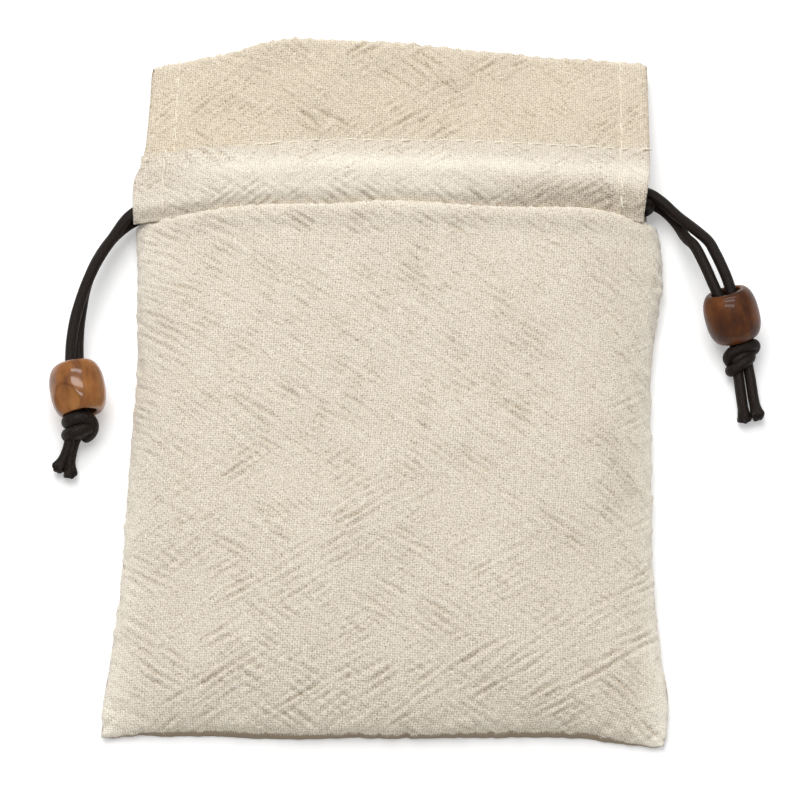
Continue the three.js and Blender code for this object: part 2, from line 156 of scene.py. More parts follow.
def noise_node(tree, place, scale, detail, roughness):
    return make_node(tree, "ShaderNodeTexNoise", {
        "Vector": place, "Scale": scale, "Detail": detail, "Roughness": roughness,
    })


def mapped(tree, place, scale, turn=0.0):
    """A place stretched by a scale and turned in its plane."""
    return make_node(tree, "ShaderNodeMapping", {
        "Vector": place, "Scale": scale, "Rotation": (0.0, 0.0, turn),
    }).outputs[0]


def cloth_place(tree, turn=0.0):
    """The place on the flat cloth or round the cord, in millimetres."""
    uv = make_node(tree, "ShaderNodeUVMap", uv_map="cloth_mm").outputs[0]
    return mapped(tree, uv, (UV_MM, UV_MM, 1.0), turn)


def stored(tree, name, output="Fac"):
    return make_node(tree, "ShaderNodeAttribute", attribute_name=name).outputs[output]


def ramp_colour(tree, tone, *stops):
    """The colour that a tone gives between (position, colour) stops."""
    node = make_node(tree, "ShaderNodeValToRGB", {0: tone})
    elements = node.color_ramp.elements
    for element, (position, colour) in zip(elements, (stops[0], stops[-1])):
        element.position = position
        element.color = (*colour, 1.0)
    for position, colour in stops[1:-1]:
        elements.new(position).color = (*colour, 1.0)
    return node.outputs[0]


def dress(tree, shader, colour, values, relief=None):
    """Gives the shader its colour, its plain values and a relief (height, strength, depth)."""
    tree.links.new(colour, shader.inputs["Base Color"])
    for name, value in values.items():
        shader.inputs[name].default_value = value
    if relief:
        raised = make_node(tree, "ShaderNodeBump", dict(zip(
            ("Height", "Strength", "Distance"), relief))).outputs[0]
        tree.links.new(raised, shader.inputs["Normal"])


def new_finish(name):
    """An empty material and its node tree, with the surface shader in place."""
    finish = bpy.data.materials.new(name)
    finish.use_nodes = True
    tree = finish.node_tree
    shader = tree.nodes["Principled BSDF"]
    return finish, tree, shader


def mesh_object(name, points, faces, finish, corner_uv=None):
    """A smooth mesh from points in millimetres, placed by its points alone."""
    mesh = bpy.data.meshes.new(name)
    mesh.from_pydata((np.asarray(points) * MM).tolist(), [], [list(map(int, f)) for f in faces])
    if corner_uv is not None:
        layer = mesh.uv_layers.new(name="cloth_mm")
        layer.data.foreach_set("uv", (np.asarray(corner_uv) / UV_MM).astype(np.float32).ravel())
    mesh.polygons.foreach_set("use_smooth", [True] * len(mesh.polygons))
    mesh.materials.append(finish)
    mesh.update()
    made = bpy.data.objects.new(name, mesh)
    scene.collection.objects.link(made)
    return made


def point_attribute(made, name, values):
    attribute = made.data.attributes.new(name, "FLOAT", "POINT")
    attribute.data.foreach_set("value", np.asarray(values, np.float32))


# ---- Cord routes, from inside the casing's end to the knot (the routes of the solids)

LEFT_FRONT_ROUTE = [
    [-44.3, 36.9, 6.3], [-45.8, 36.82, 6.2], [-47.2, 36.72, 5.97], [-48.6, 36.48, 5.68],
    [-49.95, 35.92, 5.42], [-51.15, 34.98, 5.23], [-52.2, 33.65, 5.17], [-53.15, 31.9, 5.25],
    [-54.2, 29.8, 5.5], [-55.38, 27.5, 5.85], [-56.45, 25.15, 6.15], [-57.35, 22.85, 6.35],
    [-58.49, 19.42, 6.35], [-59.39, 15.91, 6.34], [-60.1, 12.34, 6.31], [-60.48, 8.72, 6.23],
    [-60.56, 5.06, 6.15], [-60.31, 1.4, 6.1], [-59.71, -2.22, 6.08], [-59.15, -4.6, 6.07],
]
LEFT_BACK_ROUTE = [
    [-44.3, 36.9, 2.0], [-46, 36.78, 2.0], [-47.6, 36.58, 2.0], [-49, 36.18, 2.1],
    [-50.35, 35.45, 2.3], [-51.7, 34.38, 2.5], [-53, 33, 2.75], [-54.35, 31.25, 3.0],
    [-55.6, 29.1, 3.35], [-56.7, 26.75, 3.7], [-57.6, 24.35, 3.95], [-58.4, 21.6, 4.12],
    [-58.95, 18.8, 4.15], [-59.24, 15.89, 4.16], [-59.5, 12.28, 4.19], [-59.51, 8.69, 4.27],
    [-59.31, 5.13, 4.35], [-58.91, 1.59, 4.4], [-58.28, -1.91, 4.42], [-57.71, -4.21, 4.43],
]
RIGHT_FRONT_ROUTE = [
    [44.3, 41.7, 6.3], [46.3, 41.65, 6.2], [48, 41.4, 5.9], [49.45, 40.95, 5.5],
    [50.8, 40.1, 5.15], [52.05, 39, 5.0], [53.25, 37.6, 5.15], [54.5, 36.05, 5.6],
    [55.95, 34.35, 6.35], [57.5, 32.45, 7.2], [59.66, 29.53, 8.32], [60.71, 27, 8.85],
    [61.73, 24.41, 9.0], [62.86, 21.49, 8.7], [63.81, 18.61, 7.91], [64.69, 16.19, 6.82],
    [65.45, 14.23, 5.58], [65.85, 13.17, 4.76],
]
RIGHT_BACK_ROUTE = [
    [44.3, 41.7, 2.0], [46.3, 41.62, 2.0], [48, 41.35, 2.0], [49.5, 40.85, 2.0],
    [50.85, 40.1, 2.1], [52, 39.1, 2.3], [53, 37.85, 2.6], [53.9, 36.4, 3.05],
    [54.6, 34.8, 3.7], [55.15, 33.05, 4.7], [55.8, 31.05, 6.3], [56.95, 28.75, 8.0],
    [59, 23.35, 9.0], [60.15, 20.45, 8.7], [61.45, 17.7, 7.91], [62.45, 15.33, 6.82],
    [63.21, 13.36, 5.58], [63.61, 12.31, 4.76],
]
CORD_DIAMETER = 2.1
CORD_SIDES = 20
CORD_STEP = 0.4


def follow(route, step=CORD_STEP):
    """Even points along the smooth line through a route (centripetal, as in the solids)."""
    p = np.asarray(route, float)
    q = np.vstack([2 * p[0] - p[1], p, 2 * p[-1] - p[-2]])
    knots = np.concatenate([[0.0], np.cumsum(np.linalg.norm(np.diff(q, axis=0), axis=1) ** 0.5)])
    line = []
    for k in range(1, len(q) - 2):
        t0, t1, t2, t3 = knots[k - 1:k + 3]
        p0, p1, p2, p3 = q[k - 1:k + 3]
        for t in np.linspace(t1, t2, 24, endpoint=False):
            a1 = mix(p0, p1, (t - t0) / (t1 - t0))
            a2 = mix(p1, p2, (t - t1) / (t2 - t1))
            a3 = mix(p2, p3, (t - t2) / (t3 - t2))
            b1 = mix(a1, a2, (t - t0) / (t2 - t0))
            b2 = mix(a2, a3, (t - t1) / (t3 - t1))
            line.append(mix(b1, b2, (t - t1) / (t2 - t1)))
    line = np.array(line + [p[-1]])
    along = lengths_along(line)
    count = max(4, int(round(along[-1] / step)))
    places = np.linspace(0.0, along[-1], count + 1)
    return np.stack([np.interp(places, along, line[:, k]) for k in range(3)], axis=1)


def carried_frames(line):
    """Two directions across a line at each of its points, carried along without twist."""
    tangent = np.gradient(line, axis=0)
    tangent /= np.linalg.norm(tangent, axis=1)[:, None]
    side = np.cross(tangent[0], [0.0, 0.0, 1.0])
    if np.linalg.norm(side) < 0.1:
        side = np.cross(tangent[0], [0.0, 1.0, 0.0])
    sides = []
    for direction in tangent:
        side = unit(side - direction * (side @ direction))
        sides.append(side)
    sides = np.array(sides)
    return tangent, sides, np.cross(tangent, sides)


CAP_RINGS = (0.45, 0.85)    # sizes of the rings that round off a cord's end
CAP_REACH = 0.5             # how far the end stands out, in radii
CAP_STRETCH = 1.2           # and how much more than that, along the cord
FRAY_REACH = 1.4            # how much of a cut end is frayed, mm


def torn_out(angle, seed):
    """How far a cut end's rim stands out of round."""
    return (0.13 * np.cos(3 * angle + seed) + 0.10 * np.cos(5 * angle + 2.1 * seed)
            + 0.08 * np.cos(8 * angle - seed))


def torn_forward(angle, seed):
    return 0.22 * np.cos(4 * angle + 1.3 * seed)


def cord_mesh(line, radius, flare=None, frayed=0.0):
    """Points, faces and corner places of a closed cord along a line, its ends rounded in.

    The flare gives its size along it. A seed for the fraying roughens its far end.
    """
    tangent, side, over = carried_frames(line)
    along = lengths_along(line)
    last = len(line) - 1
    angle = 2 * math.pi * np.arange(CORD_SIDES) / CORD_SIDES
    width = np.full(last + 1, radius) if flare is None else radius * flare(along, along[-1])
    cap = [(-CAP_REACH * math.sqrt(1 - size ** 2), size) for size in CAP_RINGS]
    rings = [(0, push, size) for push, size in cap]
    rings += [(k, 0.0, 1.0) for k in range(last + 1)]
    rings += [(last, -push, size) for push, size in reversed(cap)]
    points = []
    for k, push, size in rings:
        torn = float(smooth(FRAY_REACH, 0.0, along[-1] - along[k])) if frayed else 0.0
        out = (width[k] * size * (1.0 + torn * torn_out(angle, frayed)))[:, None]
        forward = (push * width[k] * CAP_STRETCH + torn * torn_forward(angle, frayed))[:, None]
        points.append(line[k] + tangent[k] * forward + side[k] * np.cos(angle)[:, None] * out
                      + over[k] * np.sin(angle)[:, None] * out)
    around = 2 * math.pi * radius * np.arange(CORD_SIDES + 1) / CORD_SIDES
    faces, places = [], []
    lengthwise = [along[k] + push for k, push, _ in rings]
    for row in range(len(rings) - 1):
        a, b = row * CORD_SIDES, (row + 1) * CORD_SIDES
        v0, v1 = lengthwise[row], lengthwise[row + 1]
        for i in range(CORD_SIDES):
            j = (i + 1) % CORD_SIDES
            u0, u1 = around[i], around[i + 1]
            faces.append((a + i, a + j, b + j, b + i))
            places += [(u0, v0), (u1, v0), (u1, v1), (u0, v1)]
    for row, order in ((0, range(CORD_SIDES - 1, -1, -1)), (len(rings) - 1, range(CORD_SIDES))):
        faces.append([row * CORD_SIDES + i for i in order])
        places += [(math.cos(angle[i]), math.sin(angle[i]) + lengthwise[row]) for i in order]
    return np.vstack(points), faces, places


def joined_meshes(parts):
    """Several (points, faces, places) as one."""
    points, faces, places, offset = [], [], [], 0
    for part_points, part_faces, part_places in parts:
        points.append(part_points)
        faces += [[i + offset for i in face] for face in part_faces]
        places += part_places
        offset += len(part_points)
    return np.vstack(points), faces, places


# ---- Finishes

WEAVE_PITCH = 0.434         # mm from thread to thread
WEAVE_SLANT = 0.045         # turn of the weave on the cloth, in radians
THREAD_DRIFT = 0.55         # how far the threads wander from straight, mm
CORD_RIDGES = 12.0          # round the cord


def linen_cloth():
    """Natural cotton and linen: plain weave with uneven threads, crinkles and soft fuzz."""
    finish, tree, shader = new_finish("natural_linen_cloth")
    flat = cloth_place(tree, WEAVE_SLANT)
    drift = noise_node(tree, flat, 0.55, 2.0, 0.55).outputs["Color"]
    centred = make_node(tree, "ShaderNodeVectorMath", {
        0: drift, 1: (0.5, 0.5, 0.5),
    }, operation="SUBTRACT").outputs[0]
    pushed = make_node(tree, "ShaderNodeVectorMath", {
        0: centred, "Scale": THREAD_DRIFT,
    }, operation="SCALE").outputs[0]
    place = make_node(tree, "ShaderNodeVectorMath", {0: flat, 1: pushed}).outputs[0]
    axes = make_node(tree, "ShaderNodeSeparateXYZ", {0: place}).outputs

    def thread_waves(operation, turns):
        waves = [math_node(tree, "SINE", math_node(tree, "MULTIPLY", axes[k], turns))
                 for k in (0, 1)]
        return math_node(tree, operation, *waves)

    def streaks(scale_x, scale_y, detail, rough):
        stretched = mapped(tree, place, (scale_x, scale_y, 1.0))
        value = noise_node(tree, stretched, 1.0, detail, rough).outputs[0]
        return math_node(tree, "SUBTRACT", value, 0.5)

    turns = 2 * math.pi / WEAVE_PITCH
    over_under = thread_waves("MULTIPLY", turns / 2)
    grid = thread_waves("ADD", turns)
    warp_yarn = streaks(2.6, 0.5, 2.0, 0.6)
    weft_yarn = streaks(0.5, 2.6, 2.0, 0.6)
    grain = streaks(3.1, 3.1, 2.0, 0.75)
    blotch = streaks(0.09, 0.09, 3.0, 0.5)
    fuzz = streaks(1.15, 1.15, 4.0, 0.72)
    shade = weighted_sum(
        tree, (grid, 0.11), (over_under, 0.085), (warp_yarn, 0.45), (weft_yarn, 0.45),
        # The crinkle's valleys are painted a little darker: painted shade in the creases.
        (grain, 1.35), (blotch, 0.14), (stored(tree, "crinkle"), 0.05),
        # The stored tone is painted light and shade along the cloth's edges, crests, slopes and
        # under the bottom seam, with a little wear at the top fold.
        (stored(tree, "worn"), 0.30),
    )
    colour = ramp_colour(
        tree, math_node(tree, "ADD", shade, 0.5), (0.0, (0.34, 0.275, 0.20)),
        (0.5, (0.745, 0.662, 0.545)), (1.0, (1.0, 0.945, 0.835)),
    )
    # Where the cloth is doubled, its colour is painted a little darker and warmer: a painted shade.
    warmed = make_node(tree, "ShaderNodeMix", {
        "Factor": stored(tree, "doubled_painted_shade"), 6: colour, 7: (0.985, 0.955, 0.905, 1.0),
    }, data_type="RGBA", blend_type="MULTIPLY").outputs[2]
    height = weighted_sum(tree, (grid, 0.16), (over_under, 0.16), (warp_yarn, 0.5),
                          (weft_yarn, 0.5), (grain, 0.55), (fuzz, 1.1))
    dress(tree, shader, warmed, {
        "Roughness": 0.95, "Specular IOR Level": 0.03, "Sheen Weight": 0.03,
        "Sheen Roughness": 0.5,
    }, (height, 0.55, 0.16 * MM))
    return finish


def satin_cord():
    """Dark brown woven satin: fine slanting ridges, a soft sheen and lighter rubbed fibres."""
    finish, tree, shader = new_finish("dark_satin_cord")
    place = cloth_place(tree)
    axes = make_node(tree, "ShaderNodeSeparateXYZ", {0: place}).outputs
    around = math_node(tree, "MULTIPLY", axes[0], CORD_RIDGES / CORD_DIAMETER)
    along = math_node(tree, "MULTIPLY", axes[1], 9.0)
    ridges = [math_node(tree, "SINE", math_node(tree, way, around, along))
              for way in ("ADD", "SUBTRACT")]
    plait = math_node(tree, "MULTIPLY", *ridges)
    fibre = noise_node(tree, place, 3.2, 3.0, 0.7).outputs[0]
    colour = ramp_colour(tree, fibre, (0.40, (0.0026, 0.0013, 0.0009)),
                         (0.78, (0.036, 0.021, 0.014)))
    height = weighted_sum(tree, (plait, 0.5), (fibre, 1.0))
    dress(tree, shader, colour, {
        "Roughness": 0.55, "Specular IOR Level": 0.18, "Sheen Weight": 0.01,
        "Sheen Roughness": 0.4,
    }, (height, 0.5, 0.12 * MM))
    return finish


def bead_wood(name, dark, middle, light, gloss):
    """Stained turned wood under clear lacquer. Grain runs along the bead's bore."""
    finish, tree, shader = new_finish(name)
    place = stored(tree, "bead_mm", "Vector")
    stretched = mapped(tree, place, (1.0, 1.0, 0.2))
    swirl = noise_node(tree, place, 0.22, 2.0, 0.5).outputs[0]
    pores = noise_node(tree, stretched, 1.6, 5.0, 0.6).outputs[0]
    rings = make_node(tree, "ShaderNodeTexWave", {
        "Vector": stretched, "Scale": 0.12, "Distortion": 6.0, "Detail": 2.5,
        "Detail Scale": 0.7, "Detail Roughness": 0.6,
    }, wave_type="BANDS", bands_direction="X").outputs["Fac"]
    tone = weighted_sum(tree, (rings, 0.08), (pores, 0.34), (swirl, 0.78),
                        (stored(tree, "bared"), 0.11))
    colour = ramp_colour(tree, tone, (0.38, dark), (0.6, middle), (0.86, light))
    dress(tree, shader, colour, {
        "Roughness": 0.5, "Specular IOR Level": 0.15, "Coat Weight": gloss,
        "Coat Roughness": 0.12,
    }, (pores, 0.15, 0.12 * MM))
    return finish


def sewing_thread():
    """Cream thread, with its twist."""
    finish, tree, shader = new_finish("cream_sewing_thread")
    place = make_node(tree, "ShaderNodeTexCoord").outputs["Object"]
    twist = make_node(tree, "ShaderNodeTexWave", {
        "Vector": place, "Scale": 900.0, "Distortion": 1.5,
    }, bands_direction="DIAGONAL").outputs["Fac"]
    colour = ramp_colour(tree, twist, (0.0, (0.80, 0.72, 0.56)), (1.0, (0.97, 0.93, 0.82)))
    dress(tree, shader, colour, {"Roughness": 0.7}, (twist, 0.3, 0.05 * MM))
    return finish


LINEN = linen_cloth()
SATIN = satin_cord()
THREAD = sewing_thread()
LEFT_WOOD = bead_wood("left_bead_lacquered_wood", (0.12, 0.034, 0.005), (0.275, 0.095, 0.016),
                      (0.42, 0.165, 0.036), 0.8)
RIGHT_WOOD = bead_wood("right_bead_lacquered_wood", (0.030, 0.007, 0.0015),
                       (0.085, 0.023, 0.004), (0.17, 0.052, 0.008), 0.28)


# ---- Cords

def cord_piece(name, mesh, body, node):
    """A piece of cord from (points, faces, places), on its body and in place of its solid."""
    points, faces, places = mesh
    made = mesh_object(name, points, faces, SATIN, places)
    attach(made, body)
    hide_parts(node)
    return made


NECK_LIFT = 4.8             # how high the neck arches in its middle
NECK_HALF_SPAN = 47.0
FRONT_BASE = 4.3            # height of the front neck's cloth at its ends
BACK_CORD_Z = 2.0
FRONT_CORD_Z = 6.3
END_SAG = 2.4               # how far the neck's left end has slipped towards the bottom
HALF_PULL = 1.0             # a cord's arch fits the casing's when it is pulled this far
TUNNEL_START = 44.0         # where a cord's hidden run begins, from the middle
TUNNEL_EASE = 0.5           # how far it lies off its lane, towards the mouth
RIGHT_LANE, LEFT_LANE = 41.7, 39.1
RIGHT_REACH, LEFT_REACH = 50.5, 49.85
TUNNEL_STEP = 0.8


def neck_arch(x):
    share = np.minimum(1.0, np.abs(x) / NECK_HALF_SPAN)
    return NECK_LIFT * (1 + np.cos(math.pi * share ** 2)) / 2


def left_sag(x, y):
    """How far the cloth and cord at a place in the neck have slipped with its left end."""
    out = smooth(20.0, 50.0, -np.asarray(x, float))
    return -END_SAG * out * smooth(10.5, 35.3, y) * (1 - smooth(41.0, 50.0, y))


def tunnel_line(side, lane_y, reach):
    """A cord's stretch in the tunnels: along the front one, round the far end, and back.

    Inside, it keeps back from the humped cloth at the crease. Where it comes out it is in its
    lane again, and the left cord is at its far end too.
    """
    turn = (FRONT_CORD_Z - BACK_CORD_Z) / 2
    turn_x = -side * (reach - turn - CORD_DIAMETER / 2)
    stations = np.linspace(side * TUNNEL_START, turn_x, 41)
    front = [[x, lane_y, FRONT_CORD_Z + neck_arch(x + side * HALF_PULL)] for x in stations]
    middle = (FRONT_CORD_Z + BACK_CORD_Z) / 2
    bend = [[turn_x - side * turn * math.sin(a), lane_y, middle + turn * math.cos(a)]
            for a in np.linspace(0, math.pi, 14)[1:-1]]
    back = [[x, lane_y, BACK_CORD_Z] for x in stations[::-1]]
    line = np.array(front + bend + back)
    outward = line[:, 0] if side > 0 else np.abs(line[:, 0])
    line[:, 1] += left_sag(line[:, 0], line[:, 1])
    line[:, 1] += TUNNEL_EASE * (1 - smooth(30.0, 42.0, outward))
    return follow(line, TUNNEL_STEP)


strands = {}
for name, line, body, node in (
    ("right_cord_in_casings", tunnel_line(1, RIGHT_LANE, RIGHT_REACH), "right_cord",
     "right_drawcord_run"),
    ("left_cord_in_casings", tunnel_line(-1, LEFT_LANE, LEFT_REACH), "left_cord",
     "left_drawcord_run"),
    ("left_front_strand", follow(LEFT_FRONT_ROUTE), "left_cord", "left_strand_front"),
    ("left_back_strand", follow(LEFT_BACK_ROUTE), "left_cord", "left_strand_back"),
    ("right_front_strand", follow(RIGHT_FRONT_ROUTE), "right_cord", "right_strand_front"),
    ("right_back_strand", follow(RIGHT_BACK_ROUTE), "right_cord", "right_strand_back"),
):
    strands[name] = (cord_piece(name, cord_mesh(line, CORD_DIAMETER / 2), body, node), line)


# ---- Beads

BEAD_HALF = 4.8             # half the length
BEAD_RADIUS = 5.2           # at the middle
BEAD_END = 3.55             # radius of the flat ends
BEAD_BORE = 2.7             # radius of the bore at its mouths
BORE_RELIEF = 0.25          # how much wider the bore is inside
BEAD_CHAMFER = 0.3
BEAD_SIDES = 96


def bead(name, node, centre, along, finish, seed, facet=None):
    """A turned barrel with rounded shoulders and a chamfered bore, slightly out of true."""
    along = unit(along)
    side = unit(np.cross(along, [0.0, 0.0, 1.0]))
    over = np.cross(side, along)
    sides = BEAD_SIDES
    heights = BEAD_HALF * np.sin(np.linspace(-math.pi / 2, math.pi / 2, 41))
    barrel = [(BEAD_END + (BEAD_RADIUS - BEAD_END) * (1 - abs(h / BEAD_HALF) ** 2.5) ** 0.62, h)
              for h in heights]
    lip = [(BEAD_BORE + BEAD_CHAMFER, BEAD_HALF), (BEAD_BORE + 0.1, BEAD_HALF - 0.12),
           (BEAD_BORE, BEAD_HALF - BEAD_CHAMFER)]
    inside = [(BEAD_BORE + BORE_RELIEF, h)
              for h in np.linspace(BEAD_HALF - 1.2, -BEAD_HALF + 1.2, 6)]
    foot = [(r, -h) for r, h in reversed(lip)]
    profile = barrel + lip + inside + foot
    rng = np.random.RandomState(seed)
    waves = [(k, rng.uniform(0, 6.28), rng.uniform(0.01, 0.035)) for k in (2, 3, 5)]
    points, local, bared = [], [], []
    for row, (radius, height) in enumerate(profile):
        for i in range(sides):
            angle = 2 * math.pi * i / sides
            r = radius
            if row < len(barrel):
                r += sum(a * math.cos(k * angle + p) for k, p, a in waves)
            place = np.array([r * math.cos(angle), r * math.sin(angle), height])
            cut = 0.0
            if facet is not None and row < len(barrel):
                normal = unit(facet[0])
                over_cut = place @ normal - facet[1]
                if over_cut > 0:
                    place = place - normal * over_cut * 0.9
                cut = float(smooth(0.03, 0.15, over_cut)) - float(hump(over_cut, 0.0, 0.07))
            local.append(place)
            bared.append(cut)
            points.append(centre + side * place[0] + over * place[1] + along * place[2])
    faces = []
    count = len(profile)
    for row in range(count):
        following = (row + 1) % count
        for i in range(sides):
            j = (i + 1) % sides
            faces.append((row * sides + i, following * sides + i,
                          following * sides + j, row * sides + j))
    made = mesh_object(name, points, faces, finish)
    attribute = made.data.attributes.new("bead_mm", "FLOAT_VECTOR", "POINT")
    shifted = np.array(local) + np.array([3.1, 1.7, 0.0]) * (seed % 7)
    attribute.data.foreach_set("vector", shifted.astype(np.float32).ravel())
    point_attribute(made, "bared", bared)
    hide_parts(node)
    return made


left_wood = bead("left_wooden_bead", "left_bead", np.array([-58.87, -2.04, 5.45]),
                 (-0.2055, 0.966, 0.156), LEFT_WOOD, 11, facet=((-0.52, 0.78, -0.35), 4.78))
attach(left_wood, "left_bead")
right_wood = bead("right_wooden_bead", "right_bead", np.array([63.85, 15.0, 6.2]),
                  (-0.2837, 0.7352, 0.6157), RIGHT_WOOD, 23)
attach(right_wood, "right_bead")


# ---- Knots and tails

def flared(start, end_size):
    """A cord's size along its length: full, then spreading towards its cut end."""
    return lambda along, length: mix(1.0, end_size, smooth(length - start, length - 0.2, along))


def knot(name, node, body, tails, windings):
    """Two frayed tails and the turns round them, from (route, size) pairs, as one piece."""
    parts = []
    for k, (route, end_size) in enumerate(tails):
        parts.append(cord_mesh(follow(route, 0.3), CORD_DIAMETER / 2 * 0.98,
                               flare=flared(2.6, end_size), frayed=1.7 + 2.3 * k))
    for route, size in windings:
        parts.append(cord_mesh(follow(route, 0.3), CORD_DIAMETER / 2 * size))
    return cord_piece(name, joined_meshes(parts), body, node)


left_knot = knot(
    "left_cord_knot", "left_knot", "left_cord",
    [
        ([[-59.15, -4.9, 6.0], [-58.8, -7.2, 5.3], [-59.2, -9.3, 4.3], [-59.9, -11.3, 3.5],
          [-60.3, -13.0, 2.8], [-61.1, -14.9, 1.9], [-62.0, -16.7, 1.9]], 1.22),
        ([[-57.7, -4.5, 4.4], [-57.5, -7.0, 4.0], [-58.1, -9.2, 3.1], [-59.2, -11.3, 2.2],
          [-59.7, -13.2, 1.6], [-59.9, -15.4, 1.6], [-59.7, -17.8, 1.9]], 1.25),
    ],
    [
        ([[-59.9, -7.9, 2.6], [-60.4, -8.2, 3.8], [-60.0, -8.5, 5.2], [-58.8, -8.4, 6.0],
          [-57.4, -8.1, 5.8], [-56.3, -8.3, 4.8], [-56.0, -9.0, 3.7], [-56.5, -9.8, 2.7],
          [-57.4, -10.2, 2.0]], 1.28),
        ([[-56.7, -9.3, 4.3], [-57.6, -10.0, 4.9], [-58.8, -10.6, 5.0], [-59.9, -10.8, 4.2],
          [-60.4, -10.5, 3.1], [-60.0, -9.8, 2.1]], 1.28),
        ([[-57.2, -9.4, 3.2], [-58.6, -9.9, 3.6], [-59.8, -10.0, 3.2]], 1.5),
    ],
)
right_knot = knot(
    "right_cord_knot", "right_knot", "right_cord",
    [
        ([[65.85, 13.1, 4.7], [66.4, 11.0, 3.7], [66.6, 8.9, 3.0], [66.9, 6.6, 2.5],
          [67.4, 3.7, 1.9], [67.9, -0.3, 1.6], [68.5, -3.9, 1.9]], 1.25),
        ([[63.61, 12.2, 4.7], [64.4, 10.4, 3.6], [64.7, 8.4, 2.9], [64.9, 6.4, 2.4],
          [65.3, 3.0, 1.8], [65.7, -0.9, 1.6], [66.05, -4.5, 1.9]], 1.25),
    ],
    [
        ([[67.4, 9.5, 1.9], [68.2, 9.9, 2.7], [68.0, 10.0, 3.9], [66.7, 9.4, 4.5],
          [65.1, 8.8, 4.4], [63.8, 8.2, 3.8], [63.3, 7.6, 2.8], [63.8, 7.2, 1.9]], 1.1),
        ([[67.4, 8.6, 2.9], [67.2, 7.3, 3.6], [66.2, 6.3, 3.9], [64.9, 5.5, 3.4],
          [63.9, 5.0, 2.6], [63.7, 5.5, 1.8], [64.4, 6.4, 1.5]], 1.0),
        ([[66.9, 8.3, 2.9], [65.8, 7.5, 3.2], [64.8, 7.0, 2.8]], 1.45),
    ],
)

for side, wood, tied in (("left", left_wood, left_knot), ("right", right_wood, right_knot)):
    for layer in ("front", "back"):
        piece, line = strands[side + "_" + layer + "_strand"]


# ---- Crinkle of the cloth: even noise with chosen directions, over the flat cloth

CELL = 0.25                 # mm
CELL_ROWS, CELL_COLUMNS = 1024, 512


def cloth_noise(seed, cycles, octaves, direction=None, spread=15.0):
    """Noise about one wavelength; with a direction, its crests lie across that direction."""
    white = np.random.RandomState(seed).standard_normal((CELL_ROWS, CELL_COLUMNS))
    fy = np.fft.fftfreq(CELL_ROWS, CELL)[:, None]
    fx = np.fft.fftfreq(CELL_COLUMNS, CELL)[None, :]
    size = np.maximum(np.hypot(fx, fy), 1e-6)
    keep = np.exp(-0.5 * (np.log2(size / cycles) / octaves) ** 2)
    if direction is not None:
        angle = np.degrees(np.arctan2(fy, fx)) - direction
        off = np.abs((angle + 90.0) % 180.0 - 90.0)
        keep = keep * np.exp(-0.5 * (off / spread) ** 2)
    field = np.real(np.fft.ifft2(np.fft.fft2(white) * keep))
    return field / field.std()


def creased(field):
    """Turns even waves into narrow valleys with rounded cloth between them."""
    dip = -np.log1p(np.exp(-0.8 * field))
    return (dip - dip.mean()) / dip.std()


CREASE_CYCLES = 0.62        # creases in a millimetre, across them
FALLING = creased(cloth_noise(3, CREASE_CYCLES, 0.45, 56.0, 8.0))
RISING = creased(cloth_noise(4, CREASE_CYCLES, 0.45, 124.0, 8.0))
GRAIN = cloth_noise(7, 0.95, 0.5)
PATCHES = smooth(-0.9, 0.9, cloth_noise(5, 0.035, 0.5))
CREASING = 0.6 + 0.65 * smooth(-1.0, 1.3, cloth_noise(6, 0.08, 0.6))
WAVES = cloth_noise(9, 0.028, 0.45)
PUCKERS = cloth_noise(12, 0.22, 0.45)


def read_field(field, u, v):
    """A repeating field read at cloth places in millimetres."""
    column = (np.asarray(u) / CELL) % CELL_COLUMNS
    row = (np.asarray(v) / CELL) % CELL_ROWS
    c0, r0 = np.floor(column).astype(int), np.floor(row).astype(int)
    c1, r1 = (c0 + 1) % CELL_COLUMNS, (r0 + 1) % CELL_ROWS
    fc, fr = column - c0, row - r0
    return mix(mix(field[r0, c0], field[r0, c1], fc), mix(field[r1, c0], field[r1, c1], fc), fr)


def crinkle_at(u, v, both_ways):
    """Height of the crinkle. Its creases fall to the right, and where both ways is 1 they also
    rise, in patches."""
    patch = read_field(PATCHES, u, v)
    falling = mix(1.1, 0.45 + 0.65 * patch, both_ways)
    rising = mix(0.12, 1.0 - 0.75 * patch, both_ways)
    lines = read_field(FALLING, u, v) * falling + read_field(RISING, u, v) * rising
    return 0.42 * read_field(GRAIN, u, v) + 0.95 * lines * read_field(CREASING, u, v)


def surface_normals(p):
    """Unit normals of a grid of points."""
    across = np.gradient(p, axis=1)
    along = np.gradient(p, axis=0)
    normal = np.cross(across, along)
    return normal / np.maximum(np.linalg.norm(normal, axis=2), 1e-9)[..., None]


def even_shares(line, count):
    """Shares of a fine line's own parameter at which its length is divided evenly."""
    along = lengths_along(line)
    share = np.linspace(0.0, 1.0, len(line))
    return np.interp(np.linspace(0.0, along[-1], count + 1), along, share), along[-1]


# ---- Cloth of real thickness: a fine outer skin, a plainer inner skin, and rims between them

CLOTH_THICKNESS = 0.45
CRINKLE_HEIGHT = 0.185
SKIN_STEP = 4               # the inner skin takes every fourth point of the outer one
PLAIN = (slice(None, None, SKIN_STEP), slice(None, None, SKIN_STEP))
RESTING_Z = 0.05            # height of the cloth that lies on the surface
CLOTH_CENTRE = 60.0         # where the bag's middle lies across the crinkle
NECK_START = 108.0          # where the front neck starts along the cloth
OTHER_CLOTH = 128.0         # shift to another place of the cloth, for a second ply


def grid_quads(index):
    """Faces of a grid whose points are numbered by an index table."""
    return np.stack([
        index[:-1, :-1], index[:-1, 1:], index[1:, 1:], index[1:, :-1],
    ], axis=-1).reshape(-1, 4).tolist()


def turned(faces):
    return [face[::-1] for face in faces]


def rim_faces(fine, plain):
    """Faces from a finely divided edge to a plain one. Both run the same way."""
    step = (len(fine) - 1) // (len(plain) - 1)
    return [
        list(fine[k * step:(k + 1) * step + 1]) + [plain[k + 1], plain[k]]
        for k in range(len(plain) - 1)
    ]


